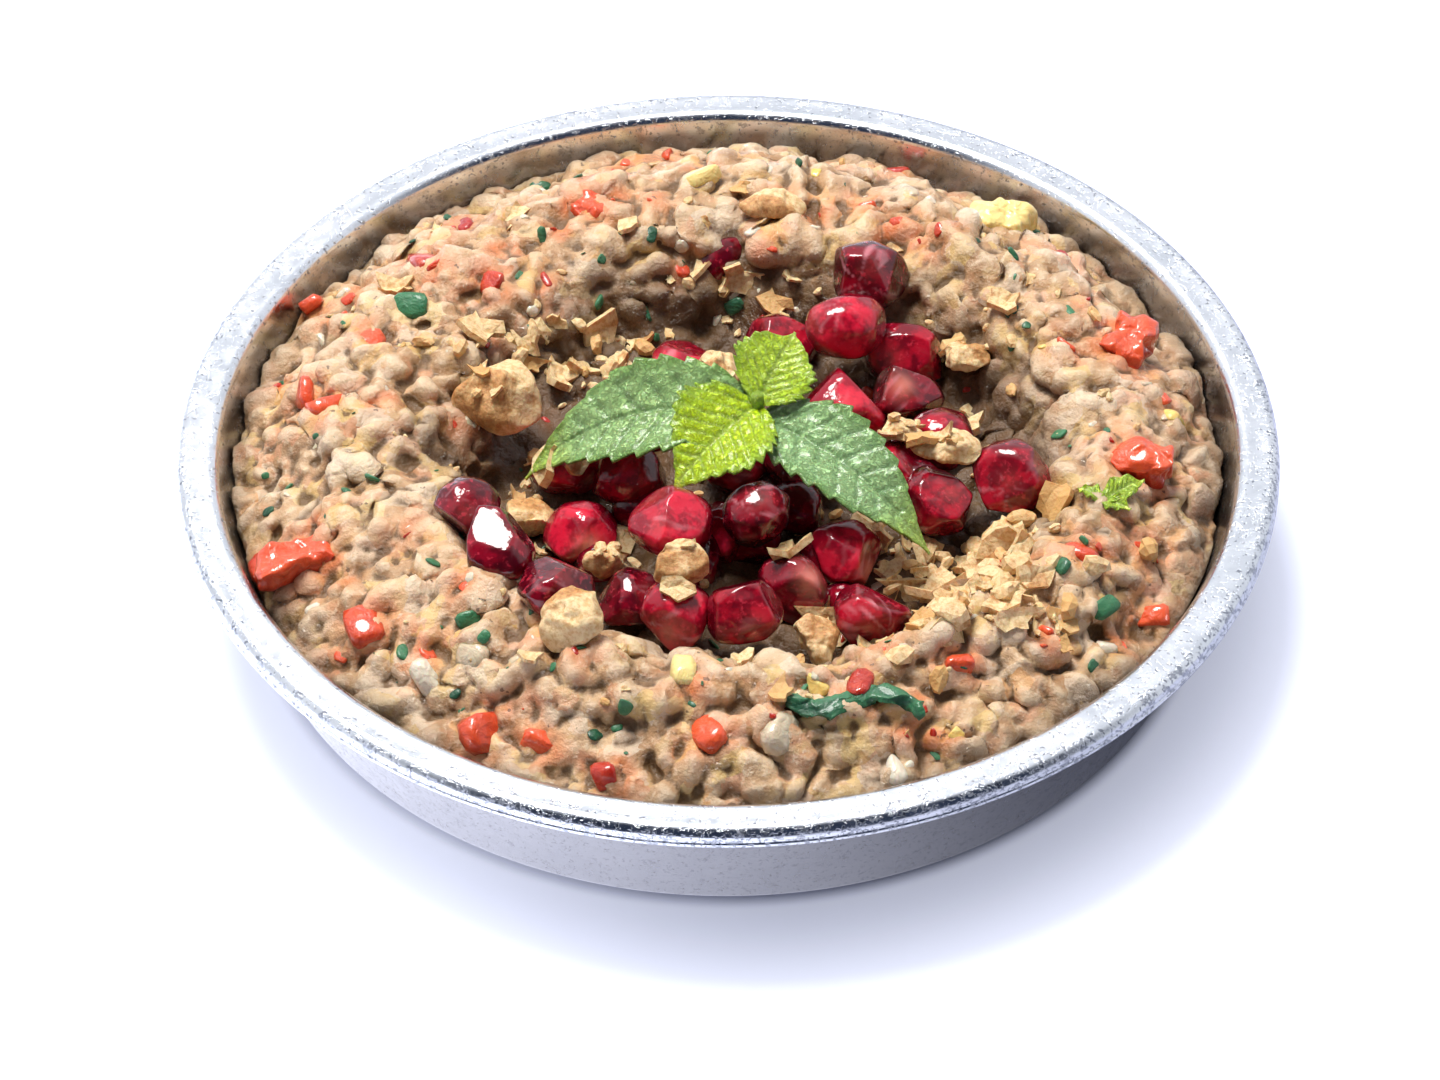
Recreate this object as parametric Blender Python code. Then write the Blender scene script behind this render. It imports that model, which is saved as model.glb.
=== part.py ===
"""Baba ganoush in its shallow spun-aluminium mezze dish, topped with pomegranate, walnut and mint.

Metres, +Z up. The origin is the centre of the dish's foot, on the table. The dish is turned, the dip
fills it to the wall with a well in the middle, and every topping is lowered onto what lies under it.
"""

import math

import bmesh
import bpy
from mathutils import Matrix, Vector, noise
from mathutils.bvhtree import BVHTree

MM = 0.001

# ---- the dish ----
RIM_RADIUS = 65.0 * MM
RIM_HEIGHT = 19.6 * MM
MOUTH_RADIUS = 59.8 * MM
FOOT_RADIUS = 56.5 * MM
FOOT_WIDTH = 6.0 * MM
FOOT_RECESS = 0.6 * MM
WALL = 1.3 * MM
LIP_DROP = 2.5 * MM
SHOULDER = 1.1 * MM
MOUTH_FILLET = 1.2 * MM
BASE_FILLET = 4.0 * MM
DISH_STEPS = 64

# ---- the dip ----
GAP = 0.3 * MM
WALL_LEVEL = 14.6 * MM
CREST_LEVEL = 22.0 * MM
WELL_LEVEL = 13.2 * MM
WELL_CENTRE = Vector((3.2 * MM, -3.6 * MM))
WELL_FLOOR_RADIUS = 30.5 * MM
WELL_EDGE_RADIUS = 38.5 * MM
CREST_RADIUS = 42.5 * MM
HEAP_RELIEF = 1.2 * MM
HEAP_GRAIN = 9.0 * MM
DIP_STEPS = 56
DIP_RINGS = 15

# ---- the toppings ----
CLEARANCE = 0.35 * MM
LOWER_FROM = 45.0 * MM
LOWER_STEP = 0.4 * MM
LEAF_THICKNESS = 0.5 * MM
STEM_RADIUS = 0.9 * MM

# Arils in the order they land: x, y, turn, lean (mm and degrees), length, width.
ARILS = (
    (6.5, 19.5, 50, 20, 9.8, 8),
    (-5.5, 15.5, 60, 0, 8.6, 7.2),
    (-2.5, 9.0, 15, 0, 8.6, 7.4),
    (22.0, 17.5, -15, 12, 10.4, 8.4),
    (21.5, 9.5, -30, 0, 9, 7.4),
    (25.5, 2.5, 40, 15, 9, 7.6),
    (1.0, -1.5, 35, 0, 9, 7.4),
    (8.5, -3.5, 30, 0, 8.8, 7.4),
    (14.0, 6.0, -50, 18, 11, 8.6),
    (19.5, -3.5, -60, 8, 9, 7.4),
    (-18.5, -2.0, 20, 14, 9.2, 7.8),
    (-11.5, -6.0, -12, 8, 10.2, 7.6),
    (24.5, -10.5, -35, 10, 9.4, 7.8),
    (33.5, -8.0, 15, 0, 10.4, 8.6),
    (-17.0, -13.0, 10, 0, 9.8, 7.2),
    (-1.5, -14.0, 60, 0, 8.4, 7.2),
    (3.5, -15.5, 80, 0, 9, 7.6),
    (14.0, -18.0, 25, 15, 9.8, 8),
    (7.5, -23.5, -65, 25, 9.4, 7.4),
    (-30.0, -16.5, 70, 20, 8.8, 7.2),
    (-26.5, -24.0, -50, 10, 9.8, 8),
    (-11.5, -24.5, 75, 0, 9, 7.4),
    (-19.5, -30.5, 10, 0, 9.6, 7.8),
    (-6.0, -29.5, 80, 0, 9.2, 7.8),
    (2.0, -31.5, 8, 0, 9.8, 7.8),
    (16.5, -28.5, -25, 12, 9.4, 7.8),
    (-6.5, -18.0, 35, 10, 9.8, 8.6),
    (17.0, 25.5, 20, 10, 10.5, 8.4),
    (14.5, 17.0, 35, 10, 9.8, 8.4),
)

# Walnut pieces: x, y, turn, lean, length, width, thickness.
WALNUTS = (
    (-27.0, 6.0, -15, 12, 11.5, 8, 6.6),
    (-17.5, -37.5, 35, -30, 8.6, 6.6, 4.6),
    (-24.0, -9.5, 70, 25, 9.6, 6.6, 3.2),
    (-14.5, -19.0, 75, 30, 9, 4.2, 3),
    (-5.5, -26.0, 15, 12, 6.8, 4.6, 4),
    (-1.5, 7.5, -20, 10, 7, 5.6, 4),
    (25.5, -6.5, -5, 6, 10.4, 4.8, 2.2),
    (20.5, 0.0, 40, 20, 6.2, 4.2, 2.6),
    (28.5, 15.0, 55, 10, 6.4, 4.6, 3.4),
    (32.5, -16.5, 30, 14, 8, 6, 3.2),
    (10.0, -31.5, -50, 28, 9.2, 4.2, 3.2),
    (5.5, 38.0, 15, 14, 9.4, 5, 2.4),
)

# Diced vegetables and the herb on the heap: name, x, y, turn, length, width, thickness.
DICE = (
    ("red_pepper_1", -50.0, -20.5, 25, 9.0, 4.6, 3.2),
    ("red_pepper_2", 48.0, 14.5, 65, 7.4, 5.0, 3.8),
    ("red_pepper_3", 48.5, -7.5, -25, 5.8, 4.8, 4.4),
    ("red_pepper_4", -16.0, 39.0, 60, 6.2, 4.4, 3.4),
    ("yellow_pepper", 33.5, 38.0, -8, 8.0, 4.8, 2.8),
)
HERB = {"x": 13.5, "y": -47.0, "turn": -5, "length": 16.0, "width": 3.0, "thickness": 1.6}

# Mint leaves: way it points, pitch at the stem and at the tip, roll, length, width, height on the stem.
MINT_AT = Vector((3.5 * MM, -4.2 * MM, 0.0))
MINT_LEAVES = (
    (180, 16, -46, -20, 26.5, 12.0, 2.3),
    (-40, 14, -40, 12, 25.5, 11.5, 1.3),
    (227, 4, -32, -10, 15.0, 12.5, 3.3),
    (62, 36, 14, 14, 11.0, 10.0, 3.9),
)


# ---- helpers ----
def material(name, colour, roughness, metallic=0.0):
    """A plain Principled finish."""
    made = bpy.data.materials.new(name)
    made.use_nodes = True
    shader = made.node_tree.nodes["Principled BSDF"]
    shader.inputs["Base Color"].default_value = (*colour, 1.0)
    shader.inputs["Roughness"].default_value = roughness
    shader.inputs["Metallic"].default_value = metallic
    made.diffuse_color = (*colour, 1.0)
    return made


def solid(name, bm, finish, smooth_deg=40.0):
    """The bmesh as a named object with its faces pointing out."""
    bmesh.ops.recalc_face_normals(bm, faces=bm.faces)
    mesh = bpy.data.meshes.new(name)
    bm.to_mesh(mesh)
    bm.free()
    mesh.shade_smooth()
    mesh.set_sharp_from_angle(angle=math.radians(smooth_deg))
    mesh.materials.append(finish)
    made = bpy.data.objects.new(name, mesh)
    bpy.context.scene.collection.objects.link(made)
    return made


def arc(centre, radius, start, end, steps):
    """Points (radius, height) on an arc, its angles in degrees."""
    angles = [math.radians(start + (end - start) * i / steps) for i in range(steps + 1)]
    return [(centre[0] + radius * math.cos(a), centre[1] + radius * math.sin(a)) for a in angles]


def turned(profile, steps):
    """A closed bmesh spun about Z from points (radius, height) that start and end on the axis."""
    bm = bmesh.new()
    row = [bm.verts.new((radius, 0.0, height)) for radius, height in profile]
    edges = [bm.edges.new(pair) for pair in zip(row, row[1:])]
    bmesh.ops.spin(
        bm, geom=row + edges, cent=(0, 0, 0), axis=(0, 0, 1), angle=math.tau, steps=steps, use_merge=True
    )
    bmesh.ops.remove_doubles(bm, verts=bm.verts, dist=1e-7)
    return bm


def smoothstep(start, end, value):
    t = min(1.0, max(0.0, (value - start) / (end - start)))
    return t * t * (3.0 - 2.0 * t)


# ---- the dish ----
def inner_radius(height):
    """The dish's inner wall: a straight taper from the floor up to the mouth."""
    share = (height - WALL) / (RIM_HEIGHT - WALL)
    return (FOOT_RADIUS - WALL) + (MOUTH_RADIUS - FOOT_RADIUS + WALL) * share


def dish_profile():
    """Half the dish's section, from the centre of its underside round the rim to its floor's centre."""
    foot_inside = FOOT_RADIUS - FOOT_WIDTH
    lip_inside = RIM_RADIUS - WALL
    under_rim = RIM_HEIGHT - WALL
    outer_mouth = inner_radius(under_rim) + WALL
    underside = [(0.0, FOOT_RECESS), (foot_inside - FOOT_RECESS, FOOT_RECESS), (foot_inside, 0.0)]
    wall_outside = arc((FOOT_RADIUS - 1.2 * MM, 1.2 * MM), 1.2 * MM, -90, -8, 3)
    wall_outside.append((outer_mouth, under_rim))
    lip = [(lip_inside, under_rim), (lip_inside, RIM_HEIGHT - LIP_DROP)]
    lip += [(RIM_RADIUS - 0.3 * MM, RIM_HEIGHT - LIP_DROP), (RIM_RADIUS, RIM_HEIGHT - LIP_DROP + 0.3 * MM)]
    shoulder = arc((RIM_RADIUS - SHOULDER, RIM_HEIGHT - SHOULDER), SHOULDER, 0, 90, 3)
    mouth = arc((MOUTH_RADIUS + MOUTH_FILLET, RIM_HEIGHT - MOUTH_FILLET), MOUTH_FILLET, 90, 170, 3)
    floor_corner = (inner_radius(WALL) - BASE_FILLET, WALL + BASE_FILLET)
    floor = arc(floor_corner, BASE_FILLET, 0, -90, 3)
    return underside + wall_outside + lip + shoulder + mouth + floor + [(0.0, WALL)]


def make_dish():
    finish = material("aluminium", (0.78, 0.79, 0.81), 0.4, 1.0)
    return solid("dish", turned(dish_profile(), DISH_STEPS), finish)


# ---- the dip ----
def dip_height(x, y):
    """The top of the dip: a ring with a spooned well, lower at the wall, and uneven all over."""
    from_well = (Vector((x, y)) - WELL_CENTRE).length
    from_axis = math.hypot(x, y)
    rise = smoothstep(WELL_FLOOR_RADIUS, WELL_EDGE_RADIUS, from_well)
    edge = inner_radius(WALL_LEVEL)
    fall = smoothstep(CREST_RADIUS, edge, from_axis) ** 1.3
    height = WELL_LEVEL + (CREST_LEVEL - WELL_LEVEL) * rise - (CREST_LEVEL - WALL_LEVEL) * fall
    relief = noise.noise(Vector((x, y, 0.0)) / HEAP_GRAIN)
    relief += 0.5 * noise.noise(Vector((x, y, 7.0)) / (0.5 * HEAP_GRAIN))
    calm = 1.0 - smoothstep(edge - 3.0 * MM, edge, from_axis)
    return height + HEAP_RELIEF * relief * calm


def make_dip():
    """The dip fills the dish down to its floor and out to its wall, a hair clear of both."""
    floor = WALL + GAP
    edge = inner_radius(WALL_LEVEL) - GAP
    corner = (inner_radius(WALL) - BASE_FILLET - GAP, WALL + BASE_FILLET)
    below = [(0.0, floor)] + arc(corner, BASE_FILLET - 0.2 * MM, -90, 0, 3)
    above = [(edge * (1.0 - i / DIP_RINGS), WALL_LEVEL) for i in range(DIP_RINGS + 1)]
    bm = turned(below + above, DIP_STEPS)
    for vert in bm.verts:
        if vert.co.z > WALL_LEVEL - GAP and math.hypot(vert.co.x, vert.co.y) < edge - GAP:
            vert.co.z = dip_height(vert.co.x, vert.co.y)
    return solid("baba_ganoush", bm, material("dip", (0.55, 0.40, 0.26), 0.45))


# ---- lowering a topping ----
def swollen_points(mesh):
    """The mesh's points pushed out by the clearance that touching solids keep."""
    return [v.co + v.normal * CLEARANCE for v in mesh.vertices]


def tree_of(points, polygons, rise=0.0):
    up = Vector((0.0, 0.0, rise))
    return BVHTree.FromPolygons([p + up for p in points], polygons)


class Table:
    """What has landed so far. lower() brings the next pieces straight down until they would touch it."""

    def __init__(self):
        self.landed = []

    def add(self, obj):
        points = [v.co.copy() for v in obj.data.vertices]
        self.landed.append(tree_of(points, [tuple(p.vertices) for p in obj.data.polygons]))

    def lower(self, *objects, spare=0.0):
        shapes = [(swollen_points(o.data), [tuple(p.vertices) for p in o.data.polygons]) for o in objects]

        def touches(rise):
            trees = [tree_of(points, polygons, rise) for points, polygons in shapes]
            return any(tree.overlap(below) for tree in trees for below in self.landed)

        free = LOWER_FROM
        while not touches(free - LOWER_STEP):
            free -= LOWER_STEP
            if free < 0.0:
                raise ValueError(f"{objects[0].name} has nothing under it")
        blocked = free - LOWER_STEP
        for _ in range(6):
            middle = (free + blocked) / 2
            free, blocked = (free, middle) if touches(middle) else (middle, blocked)
        for obj in objects:
            obj.data.transform(Matrix.Translation((0.0, 0.0, free + spare)))
            self.add(obj)


def placed(bm, x, y, turn, lean=0.0):
    """Leans a piece about its width, turns it, and stands it over (x, y), with its middle at height 0."""
    spin = Matrix.Rotation(math.radians(turn), 4, "Z") @ Matrix.Rotation(math.radians(lean), 4, "Y")
    bm.transform(Matrix.Translation((x * MM, y * MM, 0.0)) @ spin)
    return bm


def rounded_lump(length, width, thickness):
    bm = bmesh.new()
    bmesh.ops.create_icosphere(bm, subdivisions=2, radius=0.5)
    bmesh.ops.scale(bm, vec=Vector((length, width, thickness)) * MM, verts=bm.verts)
    return bm


def press_flat(bm, seed, count, reach):
    """Presses flat faces into a lump, as neighbours in the fruit or a knife leave them."""
    for i in range(count):
        way = noise.cell_vector(Vector((seed * 3.1, i * 7.7, 0.5))) * 2 - Vector((1.0, 1.0, 1.0))
        way.normalize()
        limit = reach * max(v.co.dot(way) for v in bm.verts)
        for vert in bm.verts:
            beyond = vert.co.dot(way) - limit
            if beyond > 0.0:
                vert.co -= way * beyond


# ---- the toppings ----
def aril(seed, length, width):
    """A pomegranate aril: a drop with a blunt tip and flats pressed by its neighbours, convex all round."""
    bm = rounded_lump(length, width, width * 0.92)
    for vert in bm.verts:
        along = vert.co.x / (0.5 * length * MM)
        vert.co.yz = vert.co.yz * (1.0 - 0.22 * along * abs(along))
    press_flat(bm, seed, 5, 0.84)
    hulled = bmesh.new()
    for vert in bm.verts:
        hulled.verts.new(vert.co)
    bm.free()
    hull = bmesh.ops.convex_hull(hulled, input=hulled.verts)
    spare = {e for e in hull["geom_interior"] + hull["geom_unused"] if isinstance(e, bmesh.types.BMVert)}
    bmesh.ops.delete(hulled, geom=list(spare), context="VERTS")
    return hulled


def walnut(seed, length, width, thickness):
    """A broken walnut piece: lobed where it was the kernel's surface and flat where it was cut."""
    bm = rounded_lump(length, width, thickness)
    for vert in bm.verts:
        lobes = noise.noise(vert.co / (3.2 * MM) + Vector((seed * 5.3, 0.0, 0.0)))
        vert.co += vert.co.normalized() * lobes * 0.26 * thickness * MM
    press_flat(bm, seed + 40, 4, 0.72)
    return bm


def dice(length, width, thickness):
    """A knife-cut cube of pepper, a little skewed, with its edges broken."""
    bm = bmesh.new()
    bmesh.ops.create_cube(bm, size=1.0)
    bmesh.ops.scale(bm, vec=Vector((length, width, thickness)) * MM, verts=bm.verts)
    for vert in bm.verts:
        vert.co.x += 0.18 * vert.co.y + 0.12 * vert.co.z
    bmesh.ops.bevel(
        bm, geom=bm.edges, offset=0.5 * MM, affect="EDGES", segments=1, profile=0.5, material=-1
    )
    return bm


def herb(length, width, thickness):
    """A strip of parsley, rolled up along its length and bent."""
    bm = bmesh.new()
    bmesh.ops.create_cone(bm, cap_ends=True, segments=8, radius1=0.5, radius2=0.5, depth=1.0)
    lengthwise = [e for e in bm.edges if abs(e.verts[0].co.z - e.verts[1].co.z) > 0.5]
    bmesh.ops.subdivide_edges(bm, edges=lengthwise, cuts=7)
    for vert in bm.verts:
        along = vert.co.z
        swell = 1.0 - 1.6 * along * along
        bend = 0.10 * math.sin(along * 7.0)
        across = vert.co.x * width * swell + bend * length
        vert.co = Vector((along * length, across, vert.co.y * thickness)) * MM
    return bm


def leaf(azimuth, pitch_stem, pitch_tip, roll, length, width, height):
    """A mint leaf: ovate and toothed, cupped along its midrib, drooping to its tip."""
    bm = bmesh.new()
    bmesh.ops.create_grid(bm, x_segments=12, y_segments=4, size=0.5)
    stations = 24
    spine = [Vector((0.0, 0.0, height * MM))]
    for i in range(stations):
        pitch = math.radians(pitch_stem + (pitch_tip - pitch_stem) * i / stations)
        spine.append(spine[-1] + Vector((math.cos(pitch), 0.0, math.sin(pitch))) * length * MM / stations)
    lean = Matrix.Rotation(math.radians(roll), 3, "X")
    for vert in bm.verts:
        along, across = vert.co.x + 0.5, vert.co.y * 2.0
        share = math.sin(math.pi * along**0.75) ** 0.8 if 0.0 < along < 1.0 else 0.0
        tooth = 1.07 if round(along * 12) % 2 else 1.0
        half = 0.5 * width * MM * share * tooth + 0.45 * MM
        side = Vector((0.0, across * half, 0.16 * width * MM * abs(across) ** 1.6 * share))
        vert.co = spine[round(along * stations)] + lean @ side
    bmesh.ops.solidify(bm, geom=bm.faces, thickness=LEAF_THICKNESS)
    bm.transform(Matrix.Translation(MINT_AT) @ Matrix.Rotation(math.radians(azimuth), 4, "Z"))
    return bm


def stem():
    """The short top of the mint's stem, which the leaves spring from."""
    bm = bmesh.new()
    height = 5.4 * MM
    bmesh.ops.create_cone(
        bm, cap_ends=True, segments=10, radius1=STEM_RADIUS, radius2=STEM_RADIUS * 0.8, depth=height
    )
    bm.transform(Matrix.Translation(MINT_AT + Vector((0.0, 0.0, height / 2))))
    return bm


def make_mint(table):
    """The sprig is one solid: the stem with its leaves joined to it."""
    green = material("mint", (0.16, 0.38, 0.08), 0.5)
    sprig = solid("mint_sprig", stem(), green)
    leaves = [solid(f"leaf_{i + 1}", leaf(*sizes), green) for i, sizes in enumerate(MINT_LEAVES)]
    table.lower(sprig, *leaves, spare=GAP)
    for part in leaves:
        part.hide_render = True
        part.display_type = "WIRE"
        join = sprig.modifiers.new(part.name, "BOOLEAN")
        join.operation = "UNION"
        join.object = part


def make_toppings(table):
    red = material("pomegranate", (0.35, 0.01, 0.03), 0.15)
    nut = material("walnut", (0.72, 0.52, 0.28), 0.6)
    peppers = {"red": material("red_pepper", (0.60, 0.05, 0.02), 0.3)}
    peppers["yellow"] = material("yellow_pepper", (0.85, 0.62, 0.12), 0.3)
    for i, (x, y, turn, lean, length, width) in enumerate(ARILS, 1):
        table.lower(solid(f"aril_{i:02d}", placed(aril(i, length, width), x, y, turn, lean), red))
    for i, (x, y, turn, lean, *sizes) in enumerate(WALNUTS, 1):
        table.lower(solid(f"walnut_{i:02d}", placed(walnut(i, *sizes), x, y, turn, lean), nut))
    for name, x, y, turn, *sizes in DICE:
        table.lower(solid(name, placed(dice(*sizes), x, y, turn), peppers[name.split("_")[0]]))
    strip = herb(HERB["length"], HERB["width"], HERB["thickness"])
    placed(strip, HERB["x"], HERB["y"], HERB["turn"])
    table.lower(solid("herb_strip", strip, material("herb", (0.03, 0.13, 0.05), 0.4)))


def main():
    for obj in list(bpy.data.objects):
        bpy.data.objects.remove(obj)
    table = Table()
    table.add(make_dish())
    table.add(make_dip())
    make_toppings(table)
    make_mint(table)




main()
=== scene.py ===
"""The looks of the baba ganoush: a worn spun dish, coarse dip, pomegranate, walnut, peppers and mint."""

import math

import bmesh
import bpy
import numpy as np
from mathutils import Matrix, Vector, noise
from mathutils.bvhtree import BVHTree
from mathutils.kdtree import KDTree


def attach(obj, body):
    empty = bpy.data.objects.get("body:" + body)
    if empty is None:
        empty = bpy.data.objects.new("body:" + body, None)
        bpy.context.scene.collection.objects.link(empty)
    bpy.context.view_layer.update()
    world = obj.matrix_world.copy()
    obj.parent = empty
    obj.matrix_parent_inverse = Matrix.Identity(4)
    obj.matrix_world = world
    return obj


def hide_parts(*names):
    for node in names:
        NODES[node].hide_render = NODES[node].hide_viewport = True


MM = 0.001
NOISE_SEED = 20

# ---- the dish, as its solid is turned ----
RIM_RADIUS = 65.0 * MM
RIM_HEIGHT = 19.6 * MM
MOUTH_RADIUS = 59.8 * MM
FOOT_RADIUS = 56.5 * MM
FOOT_WIDTH = 6.0 * MM
FOOT_RECESS = 0.6 * MM
WALL = 1.3 * MM
LIP_DROP = 2.5 * MM
SHOULDER = 1.4 * MM
MOUTH_FILLET = 1.4 * MM
BEAD = 0.42 * MM
BASE_FILLET = 4.0 * MM
DISH_STEPS = 256

# ---- the dip ----
DIP_VOXEL = 0.52 * MM
CORE_DROP = 0.45 * MM
CORE_DROPS_ABOVE = 12 * MM
DIP_BOTTOM = 10.5 * MM
WALL_CLEARANCE = 0.25 * MM
WELL_CENTRE = Vector((3.2 * MM, -3.6 * MM, 0.0))
WELL_RADIUS = 36.0 * MM
CREVICE = Vector((-32.0 * MM, -3.0 * MM, 0.0))
CREVICE_REACH = 4.5 * MM
CREVICE_DEPTH = 1.8 * MM
# Lumps of pulp: how many, half their length, width and height (mm, least and most), and how far they sink.
PULP = (
    (470, (2.4, 4.2), (1.6, 2.6), (1.3, 2.2), 0.15),
    (900, (1.2, 2.2), (0.8, 1.4), (0.8, 1.3), 0.0),
    (450, (0.5, 0.95), (0.4, 0.7), (0.4, 0.7), -0.2),
)
STRANDS = 700
# The pulp's relief: how high (mm) and how wide each kind stands, and how far its lumps are warped.
LUMP_HEIGHT = 1.25
LUMP_WIDTH = 5.2 * MM
SMALL_LUMP_HEIGHT = 0.42
SMALL_LUMP_WIDTH = 2.4 * MM
LUMP_WARP = 1.1
LUMP_LEVEL = 0.55
SWELL_HEIGHT = 0.9
SWELL_WIDTH = 8.0 * MM
GRAIN_HEIGHT = 0.3
GRAIN_WIDTH = 1.6 * MM
STAIN_REACH = 2.4 * MM

# ---- the toppings ----
# Where the larger shavings of walnut lie, and how long each is (mm).
FLAKES = (
    (2.0, 30.5, 5.0), (-13.0, 18.5, 3.6), (-15.0, 22.0, 4.4), (-24.0, 17.5, 4.0), (-25.5, 37.5, 3.2),
    (-40.5, 26.0, 3.4), (33.0, 20.0, 3.8), (-10.5, 23.5, 3.2), (-30.5, 8.5, 4.6), (-20.0, 14.5, 4.4),
    (-17.0, -4.0, 4.2), (-12.5, -12.5, 4.4), (-21.5, -4.5, 5.0), (20.5, -21.0, 4.6), (24.5, -22.0, 5.0),
    (29.5, -21.5, 4.8), (34.0, -18.5, 4.4), (26.0, -35.5, 4.4), (31.0, -32.5, 4.2), (35.0, -28.5, 4.0),
    (23.0, -15.5, 3.8), (27.5, -17.0, 4.4), (11.5, -28.0, 5.2), (7.0, -20.5, 4.2), (21.0, 5.0, 4.0),
    (28.0, 6.5, 4.4), (26.0, -26.5, 5.0), (20.0, -30.5, 4.6), (-6.0, -30.0, 3.6), (16.0, -33.0, 3.8),
)
# Where nearly buried arils fill the gaps of the pile, and how high their middles stand (mm).
SUNKEN_ARILS = (
    (2.5, -13.5, 1.2), (8.0, -9.0, 1.2), (-3.5, -17.5, 1.2), (21.5, -4.0, 1.0), (-10.5, -8.5, 1.4),
    (-15.0, -16.5, 1.2), (14.0, -24.0, 0.8), (-0.5, 34.0, -3.2), (-8.0, 8.0, 0.8), (12.0, -16.0, 1.2),
)
BRIGHT_ARILS = (2, 9, 11, 15, 16, 18, 24, 27, 29)
DEEP_ARILS = (3, 5, 8, 17, 19, 20, 21, 22, 23, 28)
SEEDED_ARILS = (5, 15, 18, 19, 24)
ARIL_SWELL = 1.14
WALNUT_SWELL = 1.22
DICE_SINK = 2.3 * MM

# Where cut bits lie in the dip: x, y, length (mm) and turn (degrees).
RED_SPOTS = (
    (-47.5, 4.0, 5.0, 20), (-50.5, 6.5, 4.0, -30), (-36.0, 30.0, 6.5, -50), (-42.5, 14.5, 4.5, 10),
    (-27.0, -46.5, 6.5, -40), (-41.5, -32.0, 5.5, 60), (-3.0, -49.5, 6.0, 30), (-21.5, -49.0, 4.0, -20),
    (48.5, -27.5, 4.0, 40), (14.5, -44.5, 4.0, 0), (21.0, 52.0, 3.5, 20), (-50.5, 27.5, 4.0, 60),
    (26.0, -41.0, 3.5, -15), (40.5, -23.5, 4.0, 0), (-34.0, -36.5, 3.0, 70), (-54.0, -19.0, 4.5, 10),
)
YELLOW_SPOTS = (
    (-5.0, -43.0, 4.2, 10),
    (9.5, -44.0, 3.8, -15),
    (-3.0, 43.5, 4.6, 5),
    (53.0, 3.5, 3.6, 80),
)
HERB_SPOTS = (
    (-38.0, 20.5, 4.6, 20), (-41.0, -10.5, 3.4, 80), (-37.0, -36.0, 2.4, 40), (43.0, -30.0, 4.0, 0),
    (-29.5, -33.5, 3.0, 10), (-9.0, 33.0, 2.4, 30), (-23.0, 51.0, 2.8, -10), (1.0, 28.0, 2.6, 40),
    (38.0, -26.5, 2.8, 20), (41.0, 18.0, 2.0, 0), (39.0, -1.0, 2.2, 60), (-51.5, -6.5, 2.4, 60),
)
PALE_SPOTS = (
    (6.0, -50.5, 5.5, 10),
    (-33.5, -39.5, 5.0, 70),
    (-29.5, -38.5, 4.0, 20),
    (19.0, -52.0, 4.0, 0),
)
# Drifts of walnut crumbs: middle x, y and spread (mm), how many, least and most size, share of shavings.
DRIFTS = (
    (27.0, -22.0, 6.5, 80, 0.8, 2.9, 0.35),
    (29.0, -30.0, 5.0, 36, 0.8, 2.6, 0.35),
    (22.0, -3.0, 6.0, 24, 0.7, 1.9, 0.5),
    (-13.0, 20.0, 5.5, 22, 0.7, 2.0, 0.5),
    (-24.0, 14.0, 6.0, 22, 0.7, 2.0, 0.5),
    (-19.0, -9.0, 7.0, 34, 0.7, 2.0, 0.6),
    (-14.0, -26.0, 8.0, 26, 0.6, 1.7, 0.5),
    (8.0, -30.0, 8.0, 30, 0.6, 2.0, 0.5),
    (0.0, 26.0, 5.0, 8, 0.7, 1.8, 0.4),
    (30.0, 14.0, 6.0, 14, 0.7, 1.7, 0.5),
    (2.0, 0.0, 26.0, 90, 0.4, 1.2, 0.4),
    (0.0, 0.0, 44.0, 36, 0.4, 1.1, 0.5),
)

# ---- the mint ----
MINT_BASE = Vector((3.5 * MM, -4.2 * MM, 24.9 * MM))
LEAF_THICKNESS = 0.34 * MM
TIP_THICKNESS = 0.2 * MM
TIP_PLACE = (46.0 * MM, -13.5 * MM)
# Way it points, length and width of each leaf of the stray tip.
TIP_LEAVES = ((28, 5.6, 3.0), (-35, 3.6, 2.2), (150, 3.4, 2.2))
# Name, way it points, pitch at the stem and tip, roll, length, width, height on the stem, youth.
MINT_LEAVES = (
    ("mint_leaf_left", 181, 17, -56, -22, 31.0, 11.5, 2.3, 0.15),
    ("mint_leaf_right", -40, 15, -42, 12, 27.5, 10.5, 1.3, 0.05),
    ("mint_leaf_front", 227, 4, -32, -10, 15.0, 12.5, 3.3, 1.0),
    ("mint_leaf_back", 62, 34, 8, 14, 10.5, 9.5, 3.5, 0.9),
)

# ---- the studio ----
CAMERA_AIM = Vector((-0.95, 3.24, 0.0)) * MM
CAMERA_DISTANCE = 722.6 * MM
CAMERA_ELEVATION = math.radians(43.07)
CAMERA_ROLL = math.radians(-0.38)
KEY_PLACE = (-0.21, 0.34, 0.97)
KEY_AIM = (0.0, 0.0, 0.01)
KEY_SIZE = 0.46
KEY_WATTS = 16.4
# The side on which the world is dim, seen from the dish.
DIM_SIDE = Vector((0.1, -0.80, 0.45))

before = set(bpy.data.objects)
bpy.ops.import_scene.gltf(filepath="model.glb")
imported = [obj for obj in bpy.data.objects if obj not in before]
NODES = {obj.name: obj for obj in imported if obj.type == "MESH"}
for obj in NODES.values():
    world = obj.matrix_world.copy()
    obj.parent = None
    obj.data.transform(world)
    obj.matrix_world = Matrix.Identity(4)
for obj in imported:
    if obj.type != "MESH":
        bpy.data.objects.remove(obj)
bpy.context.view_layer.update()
# Without a seed noise_vector starts from the clock, and each run would shape the pulp differently.
noise.seed_set(NOISE_SEED)


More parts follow.
